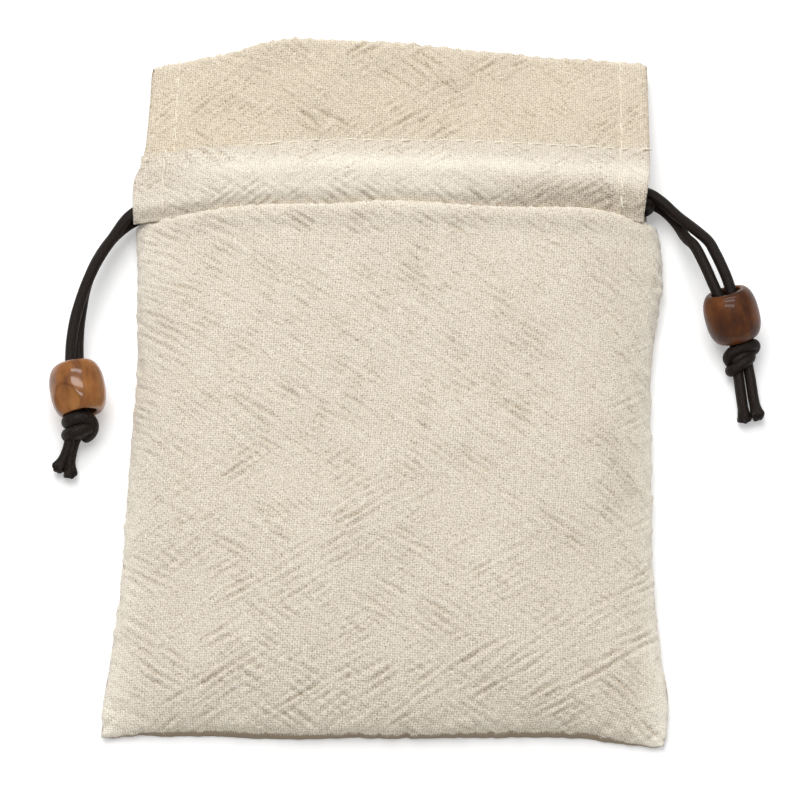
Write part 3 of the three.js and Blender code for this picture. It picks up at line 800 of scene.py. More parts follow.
def with_midpoints(faces, edges):
    """Puts the points of a finer neighbour's edge into the faces that meet it."""
    middle = {}
    for edge in edges:
        for k in range(0, len(edge) - 2, 2):
            middle[(edge[k], edge[k + 2])] = middle[(edge[k + 2], edge[k])] = edge[k + 1]
    filled = []
    for face in faces:
        whole = []
        for a, b in zip(face, face[1:] + face[:1]):
            whole.append(a)
            if (a, b) in middle:
                whole.append(middle[(a, b)])
        filled.append(whole)
    return filled


class ClothMesh:
    """Points, faces, places on the flat cloth and tones, gathered into one closed mesh."""

    def __init__(self):
        self.points, self.places, self.crinkle, self.worn, self.faces = [], [], [], [], []
        self.count = 0

    def add_points(self, points, u, v, crinkle=0.0, worn=0.0):
        """Adds a grid of points and gives back the table of their numbers."""
        shape = points.shape[:2]
        self.points.append(points.reshape(-1, 3))
        self.places.append(np.stack([u, v], axis=-1).reshape(-1, 2))
        self.crinkle.append((crinkle + np.zeros(shape)).ravel())
        self.worn.append((worn + np.zeros(shape)).ravel())
        index = self.count + np.arange(shape[0] * shape[1]).reshape(shape)
        self.count += index.size
        return index

    def add_faces(self, faces, shift=0.0):
        """Adds faces; the shift reads the weave at another place of the cloth."""
        self.faces += [(face, shift) for face in faces]

    def finish(self, name, finish):
        faces = [face for face, _ in self.faces]
        shifts = np.repeat([shift for _, shift in self.faces], [len(face) for face in faces])
        corners = np.vstack(self.places)[np.concatenate(faces)]
        corners[:, 0] += shifts
        made = mesh_object(name, np.vstack(self.points), faces, finish, corners)
        point_attribute(made, "crinkle", np.concatenate(self.crinkle))
        point_attribute(made, "worn", np.concatenate(self.worn))
        return made


def close_cloth(cloth, outer, inner, inside_out=False):
    """Adds the faces of both skins and the rims between their edges."""
    def add(faces, turn):
        cloth.add_faces(turned(faces) if turn != inside_out else faces)

    add(grid_quads(outer), False)
    add(grid_quads(inner), True)
    for edge, turn in ((0, True), (-1, False), ((slice(None), 0), False),
                       ((slice(None), -1), True)):
        add(rim_faces(outer[edge], inner[edge]), turn)


# ---- The pouch

CREASE_Y = 36.5
BOTTOM_Y = -70.0
POUCH_DEPTH = 9.2

left_edge = soft_curve([
    (-69.8, -51.0), (-67, -51.4), (-65.5, -51.5), (-61.8, -51.3), (-55.9, -50.6), (-51, -50.2),
    (-43.2, -49.4), (-33.7, -49.2), (-25.3, -49.0), (-16.7, -48.9), (-9.4, -48.8), (-1.9, -48.4),
    (5.6, -48.5), (16.2, -49.1), (27, -49.5), (32.4, -49.9), (36.5, -50.2),
], 1.5)
right_edge = soft_curve([
    (-69.8, 49.7), (-67, 50.5), (-63.8, 51.0), (-59.1, 50.9), (-53.3, 49.8), (-46.3, 49.2),
    (-41.6, 48.8), (-33.7, 48.4), (-21.7, 48.6), (-11.5, 48.6), (-1.2, 48.6), (7.2, 49.1),
    (14.6, 50.1), (24.2, 51.4), (30.7, 51.4), (34.5, 50.9), (36.5, 50.2),
], 1.5)
seam_height = soft_curve([(-50, 1.3), (-40, 1.9), (-15, 2.3), (20, 2.4), (36, 2.3), (44, 1.4),
                          (50, 1.1)], 2.0)
bottom_edge = soft_curve([
    (-50.6, -69.4), (-47.8, -69.1), (-42.4, -68.5), (-35.3, -68.1), (-30.8, -68.1),
    (-24.5, -68.4), (-15.5, -68.6), (-6.5, -68.4), (2.4, -68.4), (9.6, -68.1), (16.8, -67.8),
    (24, -67.5), (31.2, -67.4), (35.6, -67.5), (38.3, -67.9), (43.7, -69.0), (48.2, -69.5),
    (50, -69.3),
], 1.2)
crease_line = soft_curve([(-50, 33.9), (-47, 34.4), (-44, 34.9), (-37, 35.5), (-26, 35.8),
                          (0, 36.0), (26, 36.1), (34, 36.3), (39, 36.3), (45, 35.9), (50, 35.2)],
                         1.6)
BOTTOM_WALL = 0.45          # how far the back draws in under the bottom seam, mm
FOOT_Y = BOTTOM_Y + 0.8     # the row of the back that stands out again under that wall
UNDER_SHADE = -3.8          # painted shade that darkens the wall and its foot, standing in for the shadow under the bottom seam
SET_BACK = 1.4              # how far the inner skin keeps from the bottom seam
SEAM_DRAW = 0.34            # how far the stitching draws a seam in
ROLL_RADIUS = 1.1           # the front rolls over the crease with this radius
ROLL_HEIGHT = 0.9
ROLL_BACK, ROLL_WIDTH = 2.4, 2.2    # where the roll's crest lies before the crease
DOME_RISE = 60.0            # over how much of the bag the dome rises from the bottom
RIM_BLEND = 26.0            # and over how much it gives way to the neck
WAVE_HEIGHT = 0.22          # of the broad waves over the front
PUCKER_HEIGHT = 0.13        # of the puckers along the seams
PANEL_HALF_WIDTH = 50.5
PANEL_COLUMNS, PANEL_ROWS = 240, 262
FINE_COLUMNS, FINE_ROWS = 1201, 4001
TUCKS = (0.3, 0.55)         # how deep the last rows turn in at the crease


def neck_raise(x):
    """How much the right end of the neck lies higher than its arch."""
    return 1.5 * smooth(24.0, 42.0, x)


def rim_height(x):
    return FRONT_BASE + neck_arch(x) + 1.5 + 0.8 * neck_raise(x)


def seam_rise(x, y):
    return 1.5 + (seam_height(x) - 1.5) * np.exp(-(y - BOTTOM_Y) / 8.0)


def settled(x, y):
    """The place along the pouch of a row, after the bottom edge and the crease line bend it."""
    at_bottom = (bottom_edge(x) - BOTTOM_Y) * np.exp(-(y - BOTTOM_Y) / 10.0)
    at_crease = (crease_line(x) - CREASE_Y) * smooth(5.0, CREASE_Y, y)
    return y + at_bottom + at_crease


def pouch_front(angle, y):
    """The front panel's outer face. Angle runs from seam to seam, y from bottom to crease."""
    share = np.sin(angle)
    x = mix(left_edge(y), right_edge(y), (share + 1) / 2)
    rise = np.clip((y - BOTTOM_Y) / DOME_RISE, 0.0, 1.0)
    lengthwise = (1 - (1 - rise) ** 3) ** 0.6
    dome = POUCH_DEPTH * lengthwise * np.sqrt(np.clip(1 - share ** 4, 0, 1))
    shown = np.sqrt(np.clip(1 - share ** 12, 0, 1))
    rim = (rim_height(x) - seam_rise(x, y)) * shown
    z = seam_rise(x, y) + mix(dome, rim, smooth(CREASE_Y - RIM_BLEND, CREASE_Y, y))
    folded = mix(0.25, 1.0, smooth(-49.0, -36.0, x))
    z = z + ROLL_HEIGHT * hump(y, CREASE_Y - ROLL_BACK, ROLL_WIDTH) * shown * folded
    fall = np.clip(y - (CREASE_Y - ROLL_RADIUS), 0.0, ROLL_RADIUS)
    z = z - (ROLL_RADIUS - np.sqrt(np.clip(ROLL_RADIUS ** 2 - fall ** 2, 0, None))) * shown * folded
    return np.stack(np.broadcast_arrays(x, settled(x, y), z), axis=-1)


def pouch_back(angle, y):
    """The back panel's outer face, which rests on the surface and curls up to the seam."""
    share = np.sin(angle)
    x = mix(left_edge(y), right_edge(y), (share + 1) / 2)
    from_side = np.minimum(x - left_edge(y), right_edge(y) - x)
    wall = np.clip((y - BOTTOM_Y) / BOTTOM_WALL, 0.0, 1.0)
    curl = np.maximum((1 - smooth(0.0, 3.2, from_side)) ** 1.6, 1 - wall)
    z = mix(RESTING_Z, seam_rise(x, y), curl)
    out = np.abs(x)
    # The foot stands out so that its painted shade reaches as far as the shadow under the bottom
    # seam.
    foot = 0.75 + 0.9 * (1 - smooth(38.0, 47.0, out)) * mix(0.5, 1.0, smooth(5.0, 25.0, out))
    z = z + 0.3 * hump(y, FOOT_Y, 0.9)
    y = y - foot * hump(y, FOOT_Y, 0.6)
    return np.stack(np.broadcast_arrays(x, settled(x, y), z), axis=-1)


def panel_rows():
    """Even rows up the middle of the front panel, and the panel's length there."""
    fine = BOTTOM_Y + (CREASE_Y - BOTTOM_Y) * np.linspace(0, 1, FINE_ROWS) ** 2.2
    share, length = even_shares(pouch_front(np.zeros(FINE_ROWS), fine), PANEL_ROWS)
    return np.interp(share, np.linspace(0, 1, FINE_ROWS), fine), length


def panel_grid(face, y_rows):
    """A panel's points, evenly divided from seam to seam in each row."""
    fine_angle = np.linspace(-math.pi / 2, math.pi / 2, FINE_COLUMNS)
    rows = []
    for y in y_rows:
        share, _ = even_shares(face(fine_angle, np.full(FINE_COLUMNS, y)), PANEL_COLUMNS)
        angle = np.interp(share, np.linspace(0, 1, FINE_COLUMNS), fine_angle)
        rows.append(face(angle, np.full(PANEL_COLUMNS + 1, y)))
    return np.array(rows)


def tucked(points):
    """Adds the last rows, which turn in and down from the row at the crease."""
    added = []
    for depth in TUCKS:
        row = points[-1].copy()
        row[:, 1] += 0.25 * depth
        row[:, 2] -= np.minimum(depth, np.maximum(row[:, 2] - 1.7, 0.0))
        added.append(row)
    return np.concatenate([points, np.array(added)])


def make_pouch():
    y_rows, length = panel_rows()
    front = tucked(panel_grid(pouch_front, y_rows))
    back = panel_grid(pouch_back, y_rows)
    back = np.concatenate([back, back[-1:], back[-1:]])
    back[-2:, :, 1] = front[-2:, :, 1]
    across = np.linspace(-PANEL_HALF_WIDTH, PANEL_HALF_WIDTH, PANEL_COLUMNS + 1)
    along = np.concatenate([np.linspace(0, length, PANEL_ROWS + 1), length + np.array(TUCKS)])
    u, v = np.meshgrid(across, along)

    from_side = np.minimum(u - u.min(), u.max() - u)
    seam = np.minimum(from_side, v)
    both_ways = 1 - 0.8 * smooth(30.0, 62.0, v + 0.35 * u)
    crinkle = crinkle_at(u + CLOTH_CENTRE, v, both_ways)
    at_corner = np.hypot(from_side, v)
    draw = SEAM_DRAW * hump(seam, 0.0, 0.9) * mix(0.2, 1.0, smooth(1.0, 9.0, at_corner))
    draw = draw + PUCKER_HEIGHT * hump(seam, 1.4, 2.4) * read_field(PUCKERS, u, v)
    broad = WAVE_HEIGHT * read_field(WAVES, u, v) * smooth(0.0, 12.0, seam)
    lift = CRINKLE_HEIGHT * crinkle * (0.35 + 0.65 * smooth(0.5, 5.5, seam)) + broad - draw
    lift[-2:] *= 0.3
    from_crease = length - v
    # Painted light: a painted highlight along the roll at the crease, and the sides painted
    # lighter, more so on the right, for light that the side slopes lack.
    worn = 1.15 * hump(from_crease, 0.6, 1.3) + 0.3 * hump(from_side, 0.0, 1.2)
    worn = worn + mix(0.75, 1.1, smooth(-10.0, 10.0, u)) * hump(from_side, 0.0, 5.0)

    back_crinkle = crinkle_at(u + CLOTH_CENTRE, v + OTHER_CLOTH, 1.0)
    front_base, back_base = front.copy(), back.copy()
    moved = surface_normals(front) * lift[..., None]
    front = front + moved
    for edge, reach in ((moved[:, :1], u - u.min()), (moved[:, -1:], u.max() - u),
                        (moved[:1], v)):
        back = back + edge * hump(reach, 0.0, 2.0)[..., None]
    back[..., 2] = np.maximum(back[..., 2], RESTING_Z)
    back[..., 2] += (0.02 * back_crinkle + 0.03) * smooth(0.0, 4.0, seam)
    half = (slice(None, None, 2), slice(None, None, 2))

    cloth = ClothMesh()
    outer = cloth.add_points(front, u, v, crinkle, worn)
    # Painted shade on the back's rows near the bottom seam.
    shade = UNDER_SHADE * (1 - smooth(2.5, 5.0, v))
    under = cloth.add_points(*[grid[half][1:, 1:-1] for grid in (back, u, v, back_crinkle, shade)])
    back_outer = outer[half].copy()
    back_outer[1:, 1:-1] = under
    inner_front = front_base - surface_normals(front_base) * CLOTH_THICKNESS
    inner_back = back_base + surface_normals(back_base) * CLOTH_THICKNESS
    inner_front, inner_back = inner_front[PLAIN], inner_back[PLAIN]
    for edge in ((slice(None), 0), (slice(None), -1), (0, slice(None))):
        inner_front[edge] = (inner_front[edge] + inner_back[edge]) / 2
    set_back = SET_BACK * hump(v[PLAIN], 0.0, 2.6)
    for skin in (inner_front, inner_back):
        skin[..., 1] += set_back
    inner = cloth.add_points(inner_front, u[PLAIN], v[PLAIN])
    inner_under = cloth.add_points(*[grid[1:, 1:-1] for grid in (inner_back, u[PLAIN], v[PLAIN])])
    back_inner = inner.copy()
    back_inner[1:, 1:-1] = inner_under

    cloth.add_faces(grid_quads(outer))
    seams = [outer[:, 0].tolist(), outer[:, -1].tolist(), outer[0].tolist()]
    cloth.add_faces(with_midpoints(turned(grid_quads(back_outer)), seams), OTHER_CLOTH)
    cloth.add_faces(turned(grid_quads(inner)), OTHER_CLOTH)
    cloth.add_faces(grid_quads(back_inner), OTHER_CLOTH)
    cloth.add_faces(rim_faces(outer[-1], inner[-1]))
    cloth.add_faces(turned(rim_faces(back_outer[-1], back_inner[-1])), OTHER_CLOTH)
    made = cloth.finish("pouch_cloth", LINEN)
    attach(made, "pouch")
    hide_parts("front_panel", "back_panel")


make_pouch()


# ---- Casings and headers

stitch_line = soft_curve([(-49, 46.7), (-44, 47.7), (-38, 48.2), (-28, 48.5), (-19, 49.0),
                          (-9, 49.4), (0, 49.3), (24, 49.5), (32, 49.6), (39, 49.7),
                          (48, 50.0)], 3.0)
top_edge_y = soft_curve([(-49, 69.8), (-43.4, 70.2), (-39.5, 70.2), (-35.5, 70.1), (-31, 70.3),
                         (-20, 70.4), (0, 70.4), (10, 70.5), (20, 70.9), (32, 71.3), (42, 71.6),
                         (49, 71.7)], 2.0)
top_edge_z = soft_curve([(-49, 1.9), (-43.4, 4.4), (-39.5, 5.2), (-35.5, 7.2), (-31.6, 8.4),
                         (-27.6, 11.3), (-23.7, 12.7), (-20, 13.4), (-10, 12.9), (0, 12.0),
                         (10, 10.1), (15.8, 8.7), (20, 8.2), (32, 5.8), (42, 4.3),
                         (49, 2.9)], 1.8)
# Height of the front casing over its base, along it from the crease, in mm
CASING_LENGTH = 13.4
casing_humped = soft_curve([(-1.2, 0.6), (0, 1.2), (0.6, 2.2), (1.2, 2.85), (2.1, 3.25),
                            (3.2, 3.5), (4.5, 3.65), (5.6, 3.65), (6.8, 3.4), (8, 2.95),
                            (9.2, 2.45), (10.4, 2.0), (11.6, 1.6), (12.6, 1.3),
                            (13.4, 1.05)], 0.45)
casing_boxy = soft_curve([(-1.2, 0.6), (0, 1.3), (0.6, 2.3), (1.2, 2.9), (2.4, 3.3), (4, 3.6),
                          (6.7, 3.75), (9.5, 3.8), (11.3, 3.75), (12.3, 3.5), (12.9, 3.0),
                          (13.3, 2.0), (13.4, 1.05)], 0.35)
CASING_TUCK = 0.9           # how far the casing reaches under the pouch's roll
FOLD_RADIUS = 0.5           # of the fold along the top edge
HEADER_WAVE_HEIGHT = 0.28   # of the broad waves over the header
HEM_HEIGHT = 0.16           # how far the hem of two plies stands up
HEM_REACH = 5.5             # how far the side hems reach in
FACING_HALF_WIDTH = 45.3    # the inner ply of a casing ends short of its sides
NECK_HALF_WIDTH = 49.0
NECK_COLUMNS, NECK_ROWS, NECK_LINING_ROWS = 220, 88, 40


def neck_side(side, v_share):
    """How far the neck's cloth reaches to one side, over its rows (0 crease .. 2 top edge)."""
    if side < 0:
        return np.interp(v_share, [0, 0.3, 0.55, 0.65, 0.75, 0.9, 1.0, 1.08, 1.3, 2.0],
                         [-50.3, -50.5, -50.4, -50.2, -49.3, -49.3, -49.4, -48.9, -48.7, -48.4])
    return np.interp(v_share, [0, 0.3, 0.6, 1.0, 2.0], [47.5, 48.1, 48.7, 48.9, 48.9])


def neck_profiles(x):
    """Rows (share, y, z) of the front neck for the columns' places: outside, then inside."""
    base = FRONT_BASE + neck_arch(x) + neck_raise(x)
    crease, stitch = crease_line(x), stitch_line(x)
    boxy = smooth(-20.0, -38.0, x)
    outside = []
    for s in np.linspace(-CASING_TUCK / CASING_LENGTH, 1, 71):
        height = mix(casing_humped(s * CASING_LENGTH), casing_boxy(s * CASING_LENGTH), boxy)
        over = 1.5 * boxy * np.sin(math.pi * np.clip((s - 0.7) / 0.3, 0, 1))
        outside.append((max(s, 0.0), mix(crease, stitch, s) + over, base + height))
    top_y, top_z = top_edge_y(x), top_edge_z(x) + FOLD_RADIUS
    header = []
    for t in np.linspace(0, 1, 61)[1:]:
        dip = 0.28 * np.exp(-(t * 20 / 1.4) ** 2)
        header.append((1 + t, mix(stitch, top_y - FOLD_RADIUS, t),
                       mix(base + 1.0, top_z, t ** 1.1) - dip))
    outside += header
    for a in np.linspace(0, math.pi, 9)[1:-1]:
        outside.append((2.0, top_y - FOLD_RADIUS + FOLD_RADIUS * math.sin(a),
                        top_z - FOLD_RADIUS + FOLD_RADIUS * math.cos(a)))
    inside = []
    for v, y, z in reversed(header):
        inside.append((v, y, z - mix(0.55, 1.0, smooth(1.0, 1.15, v))))
    for s in np.linspace(1, 0, 25):
        inside.append((s, mix(crease + 0.4, stitch, s),
                       base + mix(0.28, 0.45, smooth(0.9, 1.0, s))))
    return outside, inside


def even_rows(grid, shares, count):
    """Rows divided evenly along the middle column, with their shares and the length there."""
    even, length = even_shares(grid[:, grid.shape[1] // 2], count)
    place = even * (len(grid) - 1)
    low = np.minimum(np.floor(place).astype(int), len(grid) - 2)
    part = place - low
    points = mix(grid[low], grid[low + 1], part[:, None, None])
    return points, mix(shares[low], shares[low + 1], part), length


def make_front_neck():
    share = np.linspace(-1, 1, NECK_COLUMNS + 1)
    outside, inside = neck_profiles(share * NECK_HALF_WIDTH)

    def stack(profile, facing_ply):
        grid = []
        for v, y, z in profile:
            left, right = neck_side(-1, v), neck_side(1, v)
            if facing_ply:
                trimmed = smooth(1.0, 0.85, v)
                left = mix(left, -FACING_HALF_WIDTH, trimmed)
                right = mix(right, FACING_HALF_WIDTH, trimmed)
            x = mix(left, right, (share + 1) / 2)
            grid.append(np.stack([x, y + 0 * x, z + 0 * x], axis=1))
        return np.array(grid), np.array([row[0] for row in profile])

    shown, shown_shares, shown_length = even_rows(*stack(outside, False), NECK_ROWS)
    lining, lining_shares, lining_length = even_rows(*stack(inside, True), NECK_LINING_ROWS)
    points = np.concatenate([shown, lining[1:]])
    shares = np.concatenate([shown_shares, lining_shares[1:]])
    along = np.concatenate([
        np.linspace(0, shown_length, NECK_ROWS + 1),
        shown_length + np.linspace(0, lining_length, NECK_LINING_ROWS + 1)[1:],
    ])
    is_shown = np.arange(len(points)) <= NECK_ROWS
    u = points[..., 0].copy()
    v = along[:, None] + np.zeros_like(u)
    normal = surface_normals(points)
    base = points.copy()

    crinkle = crinkle_at(u + CLOTH_CENTRE, v + NECK_START, 1.0)
    from_edge = np.minimum(u - u.min(axis=1)[:, None], u.max(axis=1)[:, None] - u)
    front_only = np.where(is_shown, 1.0, 0.0)[:, None]
    hem = HEM_HEIGHT * (1 - smooth(HEM_REACH - 0.5, HEM_REACH + 0.3, from_edge))
    hem = hem - 0.22 * hump(from_edge, HEM_REACH, 0.55) - 0.35 * (1 - smooth(0, 0.8, from_edge))
    seam_pull = hump(shares, 1.02, 0.06)[:, None] * read_field(PUCKERS, u * 0.8, v * 0.2)
    held = hump(shares, 1.03, 0.05)[:, None] + hump(from_edge, HEM_REACH, 0.9)
    flat = mix(1.0, 0.25, np.clip(held, 0.0, 1.0))
    lift = mix(0.04, CRINKLE_HEIGHT, front_only) * crinkle * flat + front_only * hem
    lift = lift + 0.09 * front_only * seam_pull
    waves = HEADER_WAVE_HEIGHT * read_field(WAVES, u * 1.7 + 20.0, v * 1.7)
    header_only = smooth(1.1, 1.6, shares)[:, None] * smooth(0.0, 6.0, from_edge)
    points = points + normal * lift[..., None]
    points[..., 2] += waves * header_only
    base[..., 2] += waves * header_only
    # Painted light and shade: a painted highlight along the casing's crest, fading out towards the
    # left end; the casing's lower front painted lighter on the left and in the middle, and darker
    # towards the right as painted shade; and the top fold a little lighter with wear.
    crest = hump(shares, 0.6, 0.18)[:, None] * front_only
    crest = crest * smooth(-46.0, -30.0, u) * (0.75 + 0.25 * read_field(PATCHES, u * 2, v))
    toward_right = mix(0.45, -0.8, smooth(8.0, 34.0, u))
    front_slope = toward_right * (hump(shares, 0.17, 0.16)[:, None]) * front_only
    worn = crest + front_slope + 0.5 * hump(shares, 2.0, 0.03)[:, None]

    cloth = ClothMesh()
    outer = cloth.add_points(points, u, v + NECK_START, crinkle, worn)
    inner = cloth.add_points((base - normal * CLOTH_THICKNESS)[PLAIN], u[PLAIN], v[PLAIN])
    close_cloth(cloth, outer, inner)
    made = cloth.finish("front_neck_cloth", LINEN)
    # The header and its inner ply get a painted shade, a little darker and warmer.
    warm = smooth(1.0, 1.1, shares)[:, None] + np.zeros_like(u)
    point_attribute(made, "doubled_painted_shade", np.concatenate([warm.ravel(), warm[PLAIN].ravel()]))
    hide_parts("front_casing", "front_header")
    return made, points, shares, is_shown


front_neck, front_points, front_rows, front_outer = make_front_neck()


BACK_COLUMNS, BACK_ROWS = 120, 112
BACK_CREASE_Y, BACK_STITCH_Y, BACK_TOP_Y = 36.7, 50.0, 69.9
BACK_FOLD = 0.42            # radius of the fold along the back's top edge
BACK_LOW_Z = 0.27           # height of the lower ply
BACK_SEWN_Z = 0.85          # height of the upper ply at the stitch line
TUNNEL_BULGE = 2.85         # how far the tunnel stands up over that
BACK_PLY_HALF_WIDTH, BACK_HALF_WIDTH, BACK_HEADER_HALF_WIDTH = 48.4, 48.5, 48.8


def make_back_neck():
    """The back casing and header: flat below, with the tunnel bulging up towards the front."""
    share = np.linspace(-1, 1, BACK_COLUMNS + 1)
    crease, stitch, top, fold = BACK_CREASE_Y, BACK_STITCH_Y, BACK_TOP_Y, BACK_FOLD
    low, sewn = BACK_LOW_Z, BACK_SEWN_Z
    profile = [(s, mix(crease, stitch, s), low) for s in np.linspace(0, 1, 30)]
    profile += [(1 + t, mix(stitch, top - fold, t), low) for t in np.linspace(0, 1, 40)[1:]]
    profile += [(2.0, top - fold + fold * math.sin(a), low + fold - fold * math.cos(a))
                for a in np.linspace(0, math.pi, 8)[1:-1]]
    profile += [(2 - t, mix(top - fold, stitch, t), mix(low + 2 * fold, sewn, t))
                for t in np.linspace(0, 1, 40)]
    profile += [(1 - s, mix(stitch, crease + 0.2, s),
                 sewn + TUNNEL_BULGE * max(0.0, math.sin(math.pi * (1 - s) ** 0.8)) ** 0.35)
                for s in np.linspace(0, 1, 40)[1:]]
    shares = np.array([row[0] for row in profile])
    fine = np.array([[(0.0, y, z)] for _, y, z in profile])
    middle, shares, length = even_rows(fine, shares, BACK_ROWS)
    y, z = middle[:, 0, 1], middle[:, 0, 2]
    tunnel_ply = (np.arange(len(y)) > len(y) * 0.6) & (shares < 1.0)
    trimmed = mix(BACK_PLY_HALF_WIDTH, FACING_HALF_WIDTH, smooth(1.0, 0.85, shares))
    half = np.where(tunnel_ply, trimmed, BACK_HALF_WIDTH)
    half = np.where(shares > 1.1, BACK_HEADER_HALF_WIDTH, half)
    u = share[None, :] * half[:, None]
    sag = left_sag(u, y[:, None])
    points = np.stack([u, y[:, None] + sag, z[:, None] + 0 * u], axis=2)
    v = np.linspace(0, length, len(y))[:, None] + 0 * u
    crinkle = crinkle_at(u + 10.0, v + 30.0, 1.0)
    normal = -surface_normals(points)
    base = points.copy()
    amount = np.where(z > 0.6, 0.06, 0.02)[:, None]
    points = points + normal * (amount * crinkle)[..., None]
    points[..., 2] = np.maximum(points[..., 2], RESTING_Z)

    cloth = ClothMesh()
    outer = cloth.add_points(points, u, v + 20.0, crinkle)
    inner = cloth.add_points((base - normal * CLOTH_THICKNESS)[PLAIN], u[PLAIN], v[PLAIN])
    close_cloth(cloth, outer, inner, inside_out=True)
    made = cloth.finish("back_neck_cloth", LINEN)
    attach(made, "pouch")
    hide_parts("back_casing", "back_header")
    return points, shares


back_points, back_rows = make_back_neck()


# ---- Stitching, laid along paths on the cloth

def stitch_tree():
    """Lays short arched stitches of thread along a path. The path carries the cloth's normal."""
    tree = bpy.data.node_groups.new("row_of_stitches", "GeometryNodeTree")
    face = tree.interface
    face.new_socket("Path", in_out="INPUT", socket_type="NodeSocketGeometry")
    sizes = (
        ("Stitch Pitch", 3.6 * MM), ("Stitch Length", 2.75 * MM), ("Thread Width", 0.36 * MM),
        ("Stitch Rise", 0.26 * MM),
    )
    for name, value in sizes:
        face.new_socket(name, in_out="INPUT", socket_type="NodeSocketFloat").default_value = value
    face.new_socket("Seed", in_out="INPUT", socket_type="NodeSocketInt").default_value = 1
    face.new_socket("Stitches", in_out="OUTPUT", socket_type="NodeSocketGeometry")
    given = tree.nodes.new("NodeGroupInput").outputs
    result = tree.nodes.new("NodeGroupOutput")

    def step(kind, inputs=None, **settings):
        return make_node(tree, kind, inputs, **settings).outputs[0]

    path = step("GeometryNodeMeshToCurve", {"Mesh": given["Path"]})
    spaced = step("GeometryNodeResampleCurve", {
        "Curve": path, "Length": given["Stitch Pitch"],
    }, mode="LENGTH")
    half = math_node(tree, "MULTIPLY", given["Stitch Length"], 0.5)
    back = math_node(tree, "MULTIPLY", half, -1.0)
    sunk = math_node(tree, "MULTIPLY", given["Stitch Rise"], -0.75)
    crest = math_node(tree, "MULTIPLY", given["Stitch Rise"], 1.75)
    start = step("ShaderNodeCombineXYZ", {"X": back, "Z": sunk})
    top = step("ShaderNodeCombineXYZ", {"Z": crest})
    end = step("ShaderNodeCombineXYZ", {"X": half, "Z": sunk})
    arch = step("GeometryNodeCurveQuadraticBezier", {
        "Resolution": 8, "Start": start, "Middle": top, "End": end,
    })
    radius = math_node(tree, "MULTIPLY", given["Thread Width"], 0.5)
    ring = step("GeometryNodeCurvePrimitiveCircle", {"Resolution": 8, "Radius": radius})
    stitch = step("GeometryNodeCurveToMesh", {
        "Curve": arch, "Profile Curve": ring, "Fill Caps": True,
    })
    tangent = step("GeometryNodeInputTangent")
    lay = step("FunctionNodeAlignRotationToVector", {"Vector": tangent}, axis="X")
    normal = step("GeometryNodeInputNamedAttribute", {"Name": "cloth_normal"},
                  data_type="FLOAT_VECTOR")
    stand = step("FunctionNodeAlignRotationToVector", {"Rotation": lay, "Vector": normal},
                 axis="Z", pivot_axis="X")
    slant = step("FunctionNodeRandomValue", {
        "Min": (-0.03, -0.05, 0.02), "Max": (0.03, 0.05, 0.14), "Seed": given["Seed"],
    }, data_type="FLOAT_VECTOR")
    slant = step("FunctionNodeEulerToRotation", {0: slant})
    laid = step("FunctionNodeRotateRotation", {"Rotation": stand, "Rotate By": slant},
                rotation_space="LOCAL")
    pulled = step("FunctionNodeRandomValue", {
        "Min": (0.86, 0.9, 0.8), "Max": (1.08, 1.1, 1.15), "Seed": given["Seed"],
    }, data_type="FLOAT_VECTOR")
    placed = step("GeometryNodeInstanceOnPoints", {
        "Points": spaced, "Instance": stitch, "Rotation": laid, "Scale": pulled,
    })
    whole = step("GeometryNodeRealizeInstances", {"Geometry": placed})
    rounded = step("GeometryNodeSetShadeSmooth", {"Geometry": whole})
    finished = step("GeometryNodeSetMaterial", {"Geometry": rounded, "Material": THREAD})
    tree.links.new(finished, result.inputs[0])
    return tree


STITCHES = stitch_tree()


def sew(name, paths, seed):
    """One plain mesh of stitches along several (points, normals) paths, in millimetres."""
    points, edges, normals = [], [], []
    for line, normal in paths:
        start = len(points)
        points += list(line)
        normals += list(normal)
        edges += [(start + k, start + k + 1) for k in range(len(line) - 1)]
    mesh = bpy.data.meshes.new(name + "_path")
    mesh.from_pydata((np.array(points) * MM).tolist(), edges, [])
    held = mesh.attributes.new("cloth_normal", "FLOAT_VECTOR", "POINT")
    held.data.foreach_set("vector", np.array(normals, np.float32).ravel())
    path = bpy.data.objects.new(name + "_path", mesh)
    scene.collection.objects.link(path)
    rows = path.modifiers.new("row_of_stitches", "NODES")
    rows.node_group = STITCHES
    seed_socket = [s for s in STITCHES.interface.items_tree if s.name == "Seed"][0]
    rows[seed_socket.identifier] = seed
    bpy.context.view_layer.update()
    ready = path.evaluated_get(bpy.context.evaluated_depsgraph_get())
    plain = bpy.data.meshes.new_from_object(ready)
    plain.name = name
    bpy.data.objects.remove(path)
    made = bpy.data.objects.new(name, plain)
    scene.collection.objects.link(made)
    return made


def along_columns(points, normal, row, first, last, lift):
    line = points[row, first:last] + normal[row, first:last] * lift
    return line, normal[row, first:last]


def down_rows(points, normal, u_value, rows, lift):
    """A path down the rows at one place across the cloth."""
    line, normals = [], []
    for j in rows:
        x = points[j, :, 0]
        i = int(np.clip(np.searchsorted(x, u_value), 1, len(x) - 1))
        share = (u_value - x[i - 1]) / max(x[i] - x[i - 1], 1e-6)
        n = mix(normal[j, i - 1], normal[j, i], share)
        line.append(mix(points[j, i - 1], points[j, i], share) + n * lift)
        normals.append(n)
    return np.array(line), np.array(normals)


THREAD_LIFT = 0.07          # how far the front's stitches stand off the cloth
BACK_THREAD_LIFT = -0.09    # the back's are pressed into it


